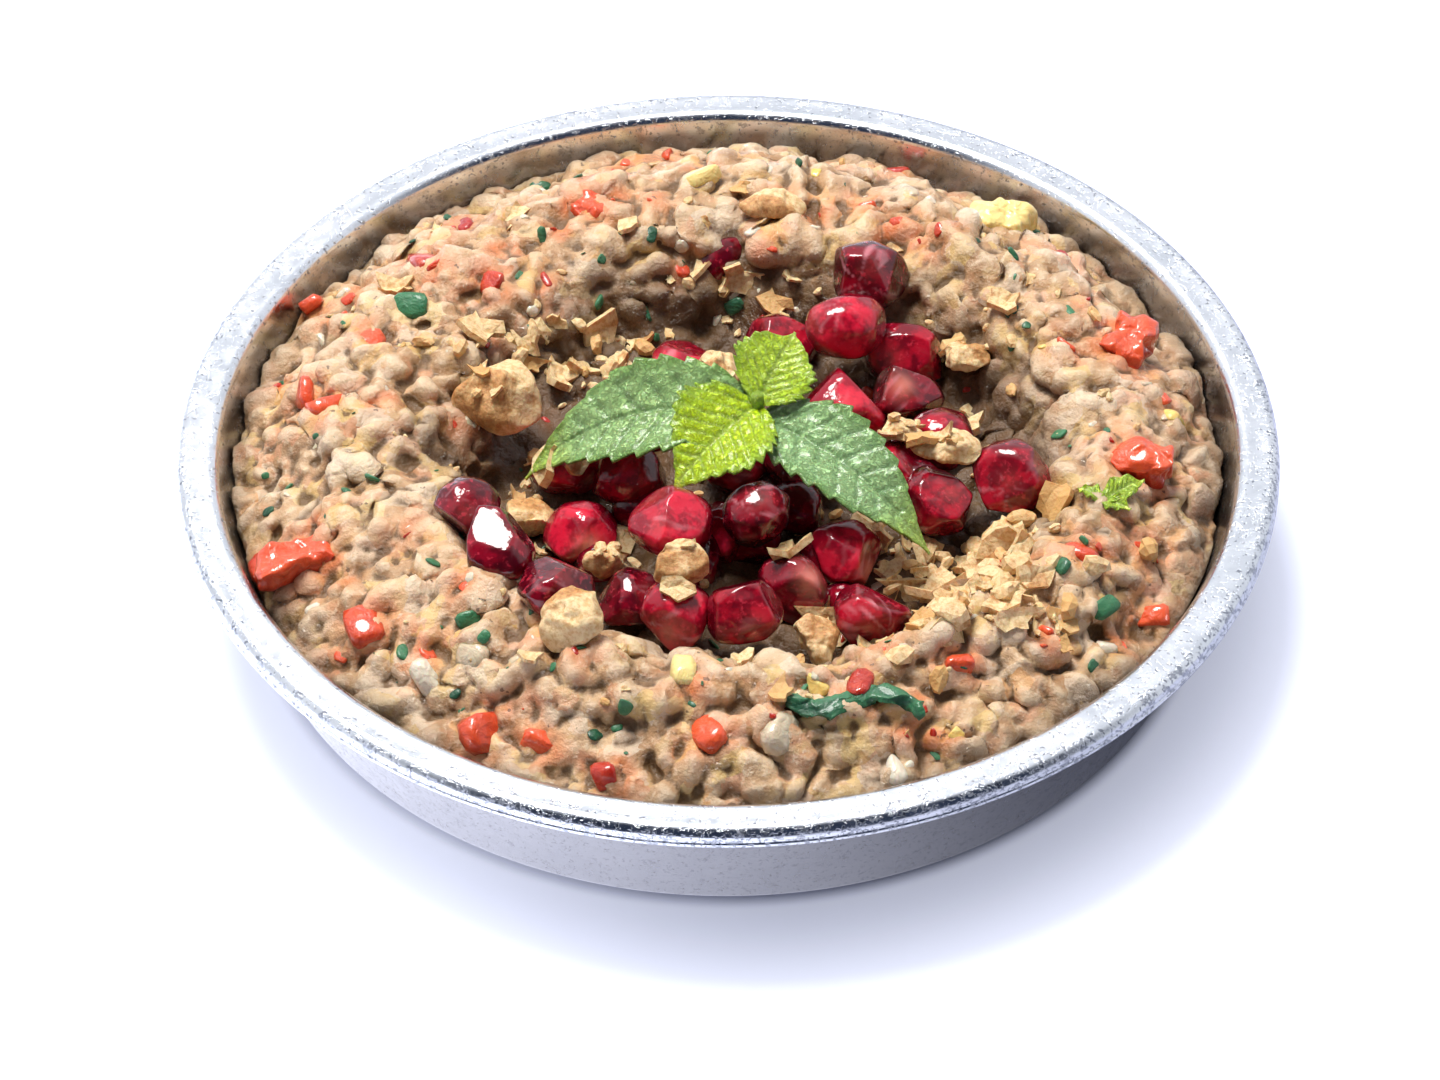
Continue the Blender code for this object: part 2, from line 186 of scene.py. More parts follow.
# ---- meshes ----
def finished(name, mesh, material, nodes=(), smooth=True):
    """A finished piece that rides on the part and stands for the nodes it details."""
    mesh.name = name
    mesh.materials.clear()
    mesh.materials.append(material)
    if smooth:
        mesh.shade_smooth()
    piece = bpy.data.objects.new(name, mesh)
    bpy.context.scene.collection.objects.link(piece)
    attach(piece, "root")
    if nodes:
        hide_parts(*nodes)
    return piece


def mesh_of(bm, name="piece"):
    mesh = bpy.data.meshes.new(name)
    bm.to_mesh(mesh)
    bm.free()
    return mesh


def points_of(mesh):
    points = np.empty(len(mesh.vertices) * 3)
    mesh.vertices.foreach_get("co", points)
    return points.reshape(-1, 3)


def set_points(mesh, points):
    mesh.vertices.foreach_set("co", np.ascontiguousarray(points, np.float32).ravel())
    mesh.update()


def normals_of(mesh):
    normals = np.empty(len(mesh.vertices) * 3, np.float32)
    mesh.vertex_normals.foreach_get("vector", normals)
    return normals.reshape(-1, 3).astype(float)


def note(mesh, name, values):
    """A number for each point of the mesh, which its material reads by name."""
    layer = mesh.attributes.new(name, "FLOAT", "POINT")
    layer.data.foreach_set("value", np.ascontiguousarray(values, np.float32))


def tree_of(*meshes):
    """One search tree over several meshes."""
    points, faces, start = [], [], 0
    for mesh in meshes:
        points += [v.co.copy() for v in mesh.vertices]
        faces += [tuple(start + i for i in p.vertices) for p in mesh.polygons]
        start += len(mesh.vertices)
    return BVHTree.FromPolygons(points, faces)


def copies_of(templates, places):
    """One mesh of many small shapes: each place is (which template, 4x4 matrix, tone)."""
    points, faces, tones, start = [], [], [], 0
    shapes = [(points_of(t), np.array([list(p.vertices) for p in t.polygons])) for t in templates]
    for which, matrix, tone in places:
        base, sides = shapes[which]
        turn = np.array(matrix)
        points.append(base @ turn[:3, :3].T + turn[:3, 3])
        faces.append(sides + start)
        tones.append(np.full(len(base), tone))
        start += len(base)
    mesh = bpy.data.meshes.new("copies")
    mesh.from_pydata(np.concatenate(points).tolist(), [], np.concatenate(faces).tolist())
    mesh.update()
    note(mesh, "tone", np.concatenate(tones))
    return mesh


def eased(points, edges, steps, share=0.5):
    """Points drawn towards their neighbours' middle."""
    count = np.bincount(edges.ravel(), minlength=len(points))[:, None]
    for _ in range(steps):
        total = np.zeros_like(points)
        np.add.at(total, edges[:, 0], points[edges[:, 1]])
        np.add.at(total, edges[:, 1], points[edges[:, 0]])
        points = points + (total / count - points) * share
    return points


def edges_of(mesh):
    edges = np.empty(len(mesh.edges) * 2, np.int64)
    mesh.edges.foreach_get("vertices", edges)
    return edges.reshape(-1, 2)


def remeshed(mesh, voxel):
    """The outer skin of overlapping shapes as one even mesh."""
    work = bpy.data.objects.new("work", mesh)
    bpy.context.scene.collection.objects.link(work)
    modifier = work.modifiers.new("skin", "REMESH")
    modifier.mode = "VOXEL"
    modifier.voxel_size = voxel
    made = bpy.data.meshes.new_from_object(work.evaluated_get(bpy.context.evaluated_depsgraph_get()))
    bpy.data.objects.remove(work)
    return made


def turned_to(normal, spin, lean=0.0):
    """A rotation that stands +Z along a normal, turned by spin and leaned, in radians."""
    stand = Vector(normal).to_track_quat("Z", "Y").to_matrix().to_4x4()
    return stand @ Matrix.Rotation(spin, 4, "Z") @ Matrix.Rotation(lean, 4, "X")


def sized(length, width, height):
    return Matrix.Diagonal((length * MM, width * MM, height * MM, 1.0))


# ---- materials ----
class Tree:
    """Short calls that add nodes to a material, an effect or the world, and link them."""

    def __init__(self, tree):
        self.nodes = tree.nodes
        self.links = tree.links

    def put(self, value, socket):
        if hasattr(value, "is_output"):
            self.links.new(value, socket)
        elif value is not None:
            socket.default_value = value

    def node(self, kind, inputs=None, **settings):
        made = self.nodes.new("ShaderNode" + kind)
        for key, value in settings.items():
            setattr(made, key, value)
        for key, value in (inputs or {}).items():
            self.put(value, made.inputs[key])
        return made

    def where(self):
        """A point's own place on the part."""
        return self.node("TexCoord").outputs["Object"]

    def noise(self, vector, per_mm, detail=3.0, roughness=0.55, distortion=0.0):
        inputs = {"Vector": vector, "Scale": per_mm * 1000.0, "Detail": detail}
        inputs.update({"Roughness": roughness, "Distortion": distortion})
        return self.node("TexNoise", inputs).outputs["Fac"]

    def ramp(self, value, low, high, start=0.0, end=1.0):
        inputs = {"Value": value, "From Min": low, "From Max": high, "To Min": start, "To Max": end}
        return self.node("MapRange", inputs, interpolation_type="SMOOTHSTEP").outputs[0]

    def math(self, operation, a, b=0.0):
        return self.node("Math", {0: a, 1: b}, operation=operation).outputs[0]

    def mix(self, factor, a, b):
        made = self.node("Mix", {"Factor": factor}, data_type="RGBA")
        self.put(a if hasattr(a, "is_output") else (*a, 1.0), made.inputs[6])
        self.put(b if hasattr(b, "is_output") else (*b, 1.0), made.inputs[7])
        return made.outputs[2]

    def attribute(self, name):
        return self.node("Attribute", attribute_name=name).outputs["Fac"]

    def bump(self, height, distance, strength=1.0, normal=None):
        made = self.node("Bump", {"Height": height, "Distance": distance, "Strength": strength})
        if normal is not None:
            self.links.new(normal, made.inputs["Normal"])
        return made.outputs[0]


class Finish(Tree):
    """A material under construction."""

    def __init__(self, name, **constants):
        self.material = bpy.data.materials.new(name)
        self.material.use_nodes = True
        super().__init__(self.material.node_tree)
        self.shader = self.nodes["Principled BSDF"]
        for socket, value in constants.items():
            self.shader.inputs[socket.replace("_", " ")].default_value = value

    def effect(self, group, **inputs):
        """A shared effect, placed in this material with its own values."""
        placed = self.node("Group", node_tree=group)
        for name, value in inputs.items():
            self.put(value, placed.inputs[name])
        return placed.outputs

    def shade(self, **sockets):
        for socket, value in sockets.items():
            self.put(value, self.shader.inputs[socket.replace("_", " ")])
        return self.material


def shared_effect(name, inputs, outputs):
    """An empty node group: (the group, its tree, what it is given, where its results go)."""
    group = bpy.data.node_groups.new(name, "ShaderNodeTree")
    for socket, kind in inputs.items():
        group.interface.new_socket(socket, in_out="INPUT", socket_type="NodeSocket" + kind)
    for socket, kind in outputs.items():
        group.interface.new_socket(socket, in_out="OUTPUT", socket_type="NodeSocket" + kind)
    tree = Tree(group)
    return group, tree, tree.nodes.new("NodeGroupInput").outputs, tree.nodes.new("NodeGroupOutput").inputs


def worn_aluminium():
    """Satin spun metal: fine turning lines, mottled with use, with grey specks and small scratches, and
    darkened to grey inside the mouth as painted shade.
    """
    f = Finish("worn_aluminium", Metallic=1.0)
    place = f.node("TexCoord").outputs["Object"]
    split = f.node("SeparateXYZ", {"Vector": place})
    x_squared = f.math("MULTIPLY", split.outputs[0], split.outputs[0])
    y_squared = f.math("MULTIPLY", split.outputs[1], split.outputs[1])
    radius = f.math("SQRT", f.math("ADD", x_squared, y_squared))
    out = f.math("ADD", radius, split.outputs[2])
    way_x = f.math("DIVIDE", split.outputs[0], radius)
    way_y = f.math("DIVIDE", split.outputs[1], radius)
    narrow_x, narrow_y = (f.math("MULTIPLY", way, 0.012) for way in (way_x, way_y))
    around = f.node("CombineXYZ", {0: narrow_x, 1: narrow_y, 2: out})
    turning = f.noise(around.outputs[0], 3.2, 3.0, 0.7)
    mottle = f.noise(place, 0.09, 4.0, 0.6, 0.4)
    cloud = f.noise(place, 0.5, 4.0, 0.65)
    worn_edge = f.ramp(radius, RIM_RADIUS - 2.6 * MM, RIM_RADIUS - 0.6 * MM, 0.0, 0.05)
    specks = f.ramp(f.math("ADD", f.noise(place, 1.9, 2.0, 0.6), worn_edge), 0.61, 0.67)
    pits = f.ramp(f.math("ADD", f.noise(place, 0.8, 5.0, 0.75), worn_edge), 0.59, 0.65)
    wide_x, wide_y = (f.math("MULTIPLY", way, 0.05) for way in (way_x, way_y))
    scuffs = f.node("CombineXYZ", {0: wide_x, 1: wide_y, 2: out})
    scratch = f.ramp(f.noise(scuffs.outputs[0], 1.3, 5.0, 0.8), 0.62, 0.70)
    marks = f.math("MAXIMUM", f.math("MULTIPLY", pits, 0.8), f.math("MULTIPLY", scratch, 0.6))
    wear = f.math("MAXIMUM", specks, marks)
    base = f.mix(f.ramp(mottle, 0.35, 0.65), (0.74, 0.77, 0.82), (0.86, 0.88, 0.92))
    base = f.mix(f.math("MULTIPLY", f.ramp(cloud, 0.45, 0.7), 0.30), base, (0.60, 0.63, 0.70))
    base = f.mix(f.math("MULTIPLY", wear, 0.75), base, (0.20, 0.22, 0.28))
    # Painted shade: the metal inside the mouth is darkened to grey.
    inside = f.ramp(radius, MOUTH_RADIUS, MOUTH_RADIUS - 0.5 * MM)
    base = f.mix(f.math("MULTIPLY", inside, 0.85), base, (0.29, 0.28, 0.29))
    rough = f.math("ADD", f.ramp(cloud, 0.3, 0.7, 0.16, 0.28), f.math("MULTIPLY", wear, 0.04))
    height = f.math("SUBTRACT", f.math("MULTIPLY", turning, 0.6), wear)
    return f.shade(Base_Color=base, Roughness=rough, Normal=f.bump(height, 0.00007, 0.45))


def pulp_finish():
    """Mashed aubergine: cream to tan lumps, stained by the peppers, wet, with painted cream highlights on the
    lumps' crests and painted olive-brown shade in the creases, low in the well and against the dish's wall.
    """
    f = Finish("pulp", Subsurface_Weight=0.25, Subsurface_Scale=0.0014, Coat_Roughness=0.04, IOR=1.38)
    f.shader.inputs["Subsurface Radius"].default_value = (1.0, 0.55, 0.3)
    f.shader.inputs["Specular IOR Level"].default_value = 0.35
    place = f.where()
    tone = f.attribute("tone")
    hollow = f.attribute("hollow")
    painted_shade = f.attribute("painted_shade")
    stain = f.attribute("stain")
    broad = f.noise(place, 0.10, 3.0, 0.6)
    patch = f.noise(place, 0.28, 3.0, 0.6)
    fine = f.noise(place, 0.9, 4.0, 0.65)
    grain = f.noise(place, 2.6, 3.0, 0.6)
    swirl = f.noise(place, 0.5, 2.0, 0.5)
    bend = f.node("VectorMath", {0: swirl, 1: (0.003, 0.003, 0.003)}, operation="MULTIPLY")
    warped = f.node("VectorMath", {0: place, 1: bend.outputs[0]}, operation="ADD").outputs[0]
    cells = f.node("TexVoronoi", {"Vector": warped, "Scale": 330.0, "Randomness": 1.0}).outputs["Color"]
    pick = f.node("SeparateColor", {"Color": cells})
    base = f.mix(f.ramp(tone, 0.05, 0.95), (0.37, 0.205, 0.092), (0.66, 0.455, 0.270))
    base = f.mix(f.math("MULTIPLY", f.ramp(broad, 0.42, 0.66), 0.45), base, (0.56, 0.32, 0.15))
    base = f.mix(f.ramp(pick.outputs[0], 0.72, 0.90, 0.0, 0.55), base, (0.74, 0.62, 0.48))
    base = f.mix(f.ramp(pick.outputs[1], 0.74, 0.90, 0.0, 0.55), base, (0.78, 0.55, 0.19))
    base = f.mix(f.ramp(pick.outputs[2], 0.76, 0.92, 0.0, 0.45), base, (0.70, 0.30, 0.16))
    base = f.mix(f.math("MULTIPLY", f.ramp(patch, 0.56, 0.70), 0.40), base, (0.72, 0.52, 0.22))
    base = f.mix(f.math("MULTIPLY", f.ramp(patch, 0.44, 0.32), 0.40), base, (0.66, 0.33, 0.18))
    base = f.mix(f.math("MULTIPLY", f.ramp(fine, 0.52, 0.66), 0.55), base, (0.80, 0.64, 0.46))
    base = f.mix(f.math("MULTIPLY", f.ramp(grain, 0.58, 0.72), 0.35), base, (0.34, 0.185, 0.075))
    # Painted highlight: where hollow is below zero, on the lumps' crests, the pulp is lightened to cream.
    base = f.mix(f.ramp(hollow, -0.00006, -0.00045, 0.0, 0.50), base, (0.82, 0.67, 0.48))
    base = f.mix(f.math("MULTIPLY", stain, 0.70), base, (0.80, 0.20, 0.05))
    # Painted shade: where hollow is above zero, in the creases, the pulp is darkened to brown.
    base = f.mix(f.ramp(hollow, -0.00002, 0.00026, 0.0, 0.92), base, (0.13, 0.064, 0.020))
    # Painted shade: darker low in the well, near the dish's wall and in the crevice, as noted on the mesh.
    base = f.mix(f.math("MULTIPLY", painted_shade, 0.94), base, (0.095, 0.048, 0.018))
    char = f.ramp(f.noise(place, 0.75, 2.0, 0.5), 0.715, 0.74)
    base = f.mix(f.math("MULTIPLY", char, 0.7), base, (0.09, 0.05, 0.03))
    wet = f.ramp(f.noise(place, 0.33, 3.0, 0.6), 0.38, 0.55, 0.45, 1.0)
    rough = f.ramp(fine, 0.3, 0.7, 0.28, 0.48)
    height = f.math("ADD", f.math("MULTIPLY", fine, 1.0), f.math("MULTIPLY", grain, 0.35))
    soft = f.bump(height, 0.00045, 0.8)
    f.put(f.bump(fine, 0.00100, 1.0, soft), f.shader.inputs["Coat Normal"])
    return f.shade(Base_Color=base, Roughness=rough, Coat_Weight=wet, Normal=soft)


def aril_flesh():
    """Red flesh: deep at the edges it is given, as painted shade, with clouds, small pale flecks, its seed's
    glow and streaks along its length.
    """
    inputs = {"Place": "Vector", "Edge": "Float", "Bright": "Color", "Deep": "Color"}
    inputs.update({"Seed": "Float", "Streak": "Float"})
    outputs = {"Colour": "Color", "Roughness": "Float", "Height": "Float"}
    group, g, given, result = shared_effect("aril_flesh", inputs, outputs)
    cloudy = g.noise(given["Place"], 0.35, 3.0, 0.6)
    fine = g.noise(given["Place"], 1.1, 3.0, 0.6)
    base = g.mix(given["Edge"], given["Bright"], given["Deep"])
    base = g.mix(g.math("MULTIPLY", g.ramp(cloudy, 0.42, 0.58), 0.75), base, given["Deep"])
    base = g.mix(g.math("MULTIPLY", g.ramp(fine, 0.56, 0.70), 0.45), base, (0.80, 0.05, 0.09))
    base = g.mix(g.math("MULTIPLY", given["Seed"], 0.75), base, (0.80, 0.26, 0.20))
    g.put(g.mix(g.math("MULTIPLY", given["Streak"], 0.55), base, (0.86, 0.36, 0.42)), result["Colour"])
    g.put(g.ramp(cloudy, 0.3, 0.7, 0.10, 0.24), result["Roughness"])
    swell = g.noise(given["Place"], 0.55, 2.0, 0.5)
    g.put(g.math("ADD", swell, g.math("MULTIPLY", fine, 0.25)), result["Height"])
    return group


def aril_finish(name, flesh, bright, deep):
    """Wet red flesh: deep at its edges as painted shade, and bright where it faces the camera as a painted
    glow of the light going through.
    """
    f = Finish(name, Subsurface_Weight=0.18, Subsurface_Scale=0.0022, Coat_Weight=1.0, Coat_Roughness=0.03)
    f.shader.inputs["Subsurface Radius"].default_value = (1.0, 0.06, 0.08)
    f.shader.inputs["IOR"].default_value = 1.35
    f.shader.inputs["Coat IOR"].default_value = 1.45
    f.shader.inputs["Specular IOR Level"].default_value = 0.15
    place = f.where()
    # Painted shade and glow: the flesh turns deep where its surface turns away from the camera, and stays
    # bright where it faces it.
    facing = f.node("LayerWeight", {"Blend": 0.45}).outputs["Facing"]
    made = f.effect(
        flesh, Place=place, Edge=f.ramp(facing, 0.15, 0.75), Bright=(*bright, 1.0), Deep=(*deep, 1.0),
        Seed=f.attribute("seed"), Streak=f.attribute("streak")
    )
    f.put(f.bump(f.noise(place, 0.35, 3.0, 0.6), 0.0006, 0.35), f.shader.inputs["Coat Normal"])
    soft = f.bump(made["Height"], 0.0004, 0.35)
    return f.shade(Base_Color=made["Colour"], Roughness=made["Roughness"], Normal=soft)


def walnut_finish():
    """Kernel: cream flesh where it broke, thin brown skin elsewhere, with darker veins."""
    f = Finish("walnut_kernel", Subsurface_Weight=0.2, Subsurface_Scale=0.0012, Roughness=0.5)
    f.shader.inputs["Specular IOR Level"].default_value = 0.35
    place = f.where()
    skin = f.attribute("skin")
    tone = f.attribute("tone")
    patch = f.noise(place, 0.32, 4.0, 0.65, 0.6)
    fine = f.noise(place, 1.6, 4.0, 0.65)
    vein = f.ramp(f.noise(place, 0.55, 5.0, 0.7, 1.2), 0.62, 0.68)
    flesh = f.mix(f.ramp(fine, 0.32, 0.62), (0.65, 0.40, 0.17), (0.86, 0.66, 0.38))
    flesh = f.mix(f.ramp(tone, 0.65, 0.0, 0.0, 0.85), flesh, (0.64, 0.36, 0.12))
    brown = f.mix(f.ramp(fine, 0.35, 0.7), (0.40, 0.16, 0.045), (0.64, 0.33, 0.11))
    cover = f.ramp(f.math("ADD", skin, f.math("MULTIPLY", patch, 0.9)), 0.78, 1.00)
    base = f.mix(f.math("MULTIPLY", cover, 0.85), flesh, brown)
    base = f.mix(f.math("MULTIPLY", vein, 0.35), base, (0.36, 0.16, 0.05))
    height = f.math("ADD", fine, f.math("MULTIPLY", patch, 0.8))
    rough = f.ramp(fine, 0.3, 0.7, 0.42, 0.62)
    return f.shade(Base_Color=base, Roughness=rough, Normal=f.bump(height, 0.0004, 0.6))


def clouded_flesh():
    """Cut flesh in two tones, picked by the tone given: piece by piece for the chips, and by height as
    painted light on the dice and the herb strip; clouded inside each one.
    """
    inputs = {"Place": "Vector", "Tone": "Float", "Dark": "Color", "Light": "Color"}
    group, g, given, result = shared_effect("clouded_flesh", inputs, {"Colour": "Color", "Height": "Float"})
    cloud = g.noise(given["Place"], 0.8, 4.0, 0.6, 0.5)
    pick = g.math("ADD", g.math("MULTIPLY", given["Tone"], 0.6), g.math("MULTIPLY", cloud, 0.6))
    g.put(g.mix(g.ramp(pick, 0.25, 0.85), given["Dark"], given["Light"]), result["Colour"])
    g.put(cloud, result["Height"])
    return group


def chip_finish(name, flesh, dark, light, roughness, wet=0.5):
    """Moist cut flesh of one vegetable or herb."""
    f = Finish(name, Subsurface_Weight=0.25, Subsurface_Scale=0.0012, Coat_Weight=wet, Coat_Roughness=0.06)
    f.shader.inputs["Specular IOR Level"].default_value = 0.3
    colours = {"Dark": (*dark, 1.0), "Light": (*light, 1.0)}
    made = f.effect(flesh, Place=f.where(), Tone=f.attribute("tone"), **colours)
    return f.shade(Base_Color=made["Colour"], Roughness=roughness, Normal=f.bump(made["Height"], 0.0006, 0.7))


def leaf_finish():
    """Mint: yellow-green when young, deeper and duller when grown, with pale veins, a soft gloss, a painted
    sheen on the puffed blade between the veins and painted shade in its fine net of creases.
    """
    f = Finish("mint_leaf", Subsurface_Weight=0.10, Subsurface_Scale=0.0006)
    f.shader.inputs["Coat Weight"].default_value = 0.35
    f.shader.inputs["Coat Roughness"].default_value = 0.22
    f.shader.inputs["Specular IOR Level"].default_value = 0.5
    place = f.where()
    vein = f.attribute("vein")
    youth = f.attribute("youth")
    puff = f.attribute("puff")
    fine = f.noise(place, 1.4, 4.0, 0.65)
    net = f.ramp(f.noise(place, 1.5, 5.0, 0.7, 0.8), 0.42, 0.56)
    # Painted sheen: the puffed blade between the veins is lighter than the rest, on grown and young leaves
    # alike.
    grown = f.mix(puff, (0.045, 0.23, 0.045), (0.42, 0.68, 0.31))
    young = f.mix(puff, (0.22, 0.48, 0.002), (0.66, 0.90, 0.008))
    base = f.mix(youth, grown, young)
    pale = f.mix(youth, (0.48, 0.72, 0.36), (0.78, 0.95, 0.12))
    base = f.mix(f.math("MULTIPLY", vein, 0.80), base, pale)
    # Painted shade: the fine net of sunken creases is darkened.
    base = f.mix(f.math("MULTIPLY", net, 0.30), base, (0.008, 0.085, 0.010))
    height = f.math("SUBTRACT", f.math("MULTIPLY", fine, 0.5), f.math("MULTIPLY", net, 0.8))
    rough = f.ramp(fine, 0.3, 0.7, 0.26, 0.42)
    return f.shade(Base_Color=base, Roughness=rough, Normal=f.bump(height, 0.0005, 0.8))


# ---- the dish ----
def arc(centre, radius, start, end, steps):
    angles = [math.radians(start + (end - start) * i / steps) for i in range(steps + 1)]
    return [(centre[0] + radius * math.cos(a), centre[1] + radius * math.sin(a)) for a in angles]


def inner_radius(height):
    share = (height - WALL) / (RIM_HEIGHT - WALL)
    return (FOOT_RADIUS - WALL) + (MOUTH_RADIUS - FOOT_RADIUS + WALL) * share


def dish_profile():
    """Half the dish's section, with every corner rounded as spinning and rolling leave it."""
    foot_inside = FOOT_RADIUS - FOOT_WIDTH
    lip_inside = RIM_RADIUS - WALL
    under_rim = RIM_HEIGHT - WALL
    outer_mouth = inner_radius(under_rim) + WALL
    lip_foot = RIM_HEIGHT - LIP_DROP
    points = [(0.0, FOOT_RECESS), (foot_inside - FOOT_RECESS, FOOT_RECESS), (foot_inside, 0.02 * MM)]
    points += arc((FOOT_RADIUS - 1.2 * MM, 1.2 * MM), 1.2 * MM, -90, -8, 8)
    points.append((outer_mouth - 0.25 * MM, under_rim - 0.7 * MM))
    points.append((outer_mouth + 0.1 * MM, under_rim - 0.1 * MM))
    points += [(lip_inside - 0.3 * MM, under_rim), (lip_inside, under_rim - 0.3 * MM)]
    points += arc((RIM_RADIUS - BEAD, lip_foot + BEAD), BEAD, -180, 40, 10)
    points += [(RIM_RADIUS - 0.30 * MM, lip_foot + 2.0 * BEAD + 0.08 * MM)]
    points += arc((RIM_RADIUS - SHOULDER, RIM_HEIGHT - SHOULDER), SHOULDER, 6, 90, 14)
    points += [(RIM_RADIUS - inset * MM, RIM_HEIGHT - 0.05 * MM) for inset in (1.9, 2.6, 3.2)]
    points += arc((MOUTH_RADIUS + MOUTH_FILLET, RIM_HEIGHT - MOUTH_FILLET), MOUTH_FILLET, 90, 172, 12)
    points += arc((inner_radius(WALL) - BASE_FILLET, WALL + BASE_FILLET), BASE_FILLET, 0, -90, 8)
    return points + [(0.0, WALL)]


def make_dish():
    bm = bmesh.new()
    row = [bm.verts.new((radius, 0.0, height)) for radius, height in dish_profile()]
    edges = [bm.edges.new(pair) for pair in zip(row, row[1:])]
    bmesh.ops.spin(
        bm, geom=row + edges, cent=(0, 0, 0), axis=(0, 0, 1), angle=math.tau, steps=DISH_STEPS, use_merge=True
    )
    bmesh.ops.remove_doubles(bm, verts=bm.verts, dist=1e-7)
    bmesh.ops.recalc_face_normals(bm, faces=bm.faces)
    return finished("spun_dish", mesh_of(bm), worn_aluminium(), ["dish"])


# ---- the dip ----
def ball(subdivisions):
    bm = bmesh.new()
    bmesh.ops.create_icosphere(bm, subdivisions=subdivisions, radius=1.0)
    return mesh_of(bm, "ball")


def block(cuts=2, squareness=0.55):
    """A small cut chip: a ball drawn out towards a cube's corners."""
    bm = bmesh.new()
    bmesh.ops.create_icosphere(bm, subdivisions=cuts, radius=1.0)
    for vert in bm.verts:
        vert.co = Vector([math.copysign(abs(c) ** squareness, c) for c in vert.co])
    return mesh_of(bm, "block")


class Heap:
    """The top of the dip's solid, to set things on."""

    def __init__(self, tree):
        self.tree = tree

    def under(self, x, y, top=60.0 * MM):
        """(point, normal) on the surface below (x, y) in metres, or None off its edge."""
        point, normal, _, _ = self.tree.ray_cast(Vector((x, y, top)), Vector((0.0, 0.0, -1.0)))
        return (point, normal) if point is not None else None


def scatter(rng, heap, count, edge=57.2 * MM):
    """Evenly spread random places on the heap."""
    found = []
    while len(found) < count:
        radius, angle = edge * math.sqrt(rng.random()), rng.random() * math.tau
        spot = heap.under(radius * math.cos(angle), radius * math.sin(angle))
        if spot:
            found.append(spot)
    return found


def lumpy(points, size, warp):
    """Packed rounded lumps with sharp creases between them: 1 on a lump, towards 0 in a crease."""
    made = []
    for p in points:
        at = Vector(p) / size
        made.append(1.0 - noise.noise(at + warp * noise.noise_vector(at * 0.9), noise_basis="VORONOI_F1"))
    return np.array(made)


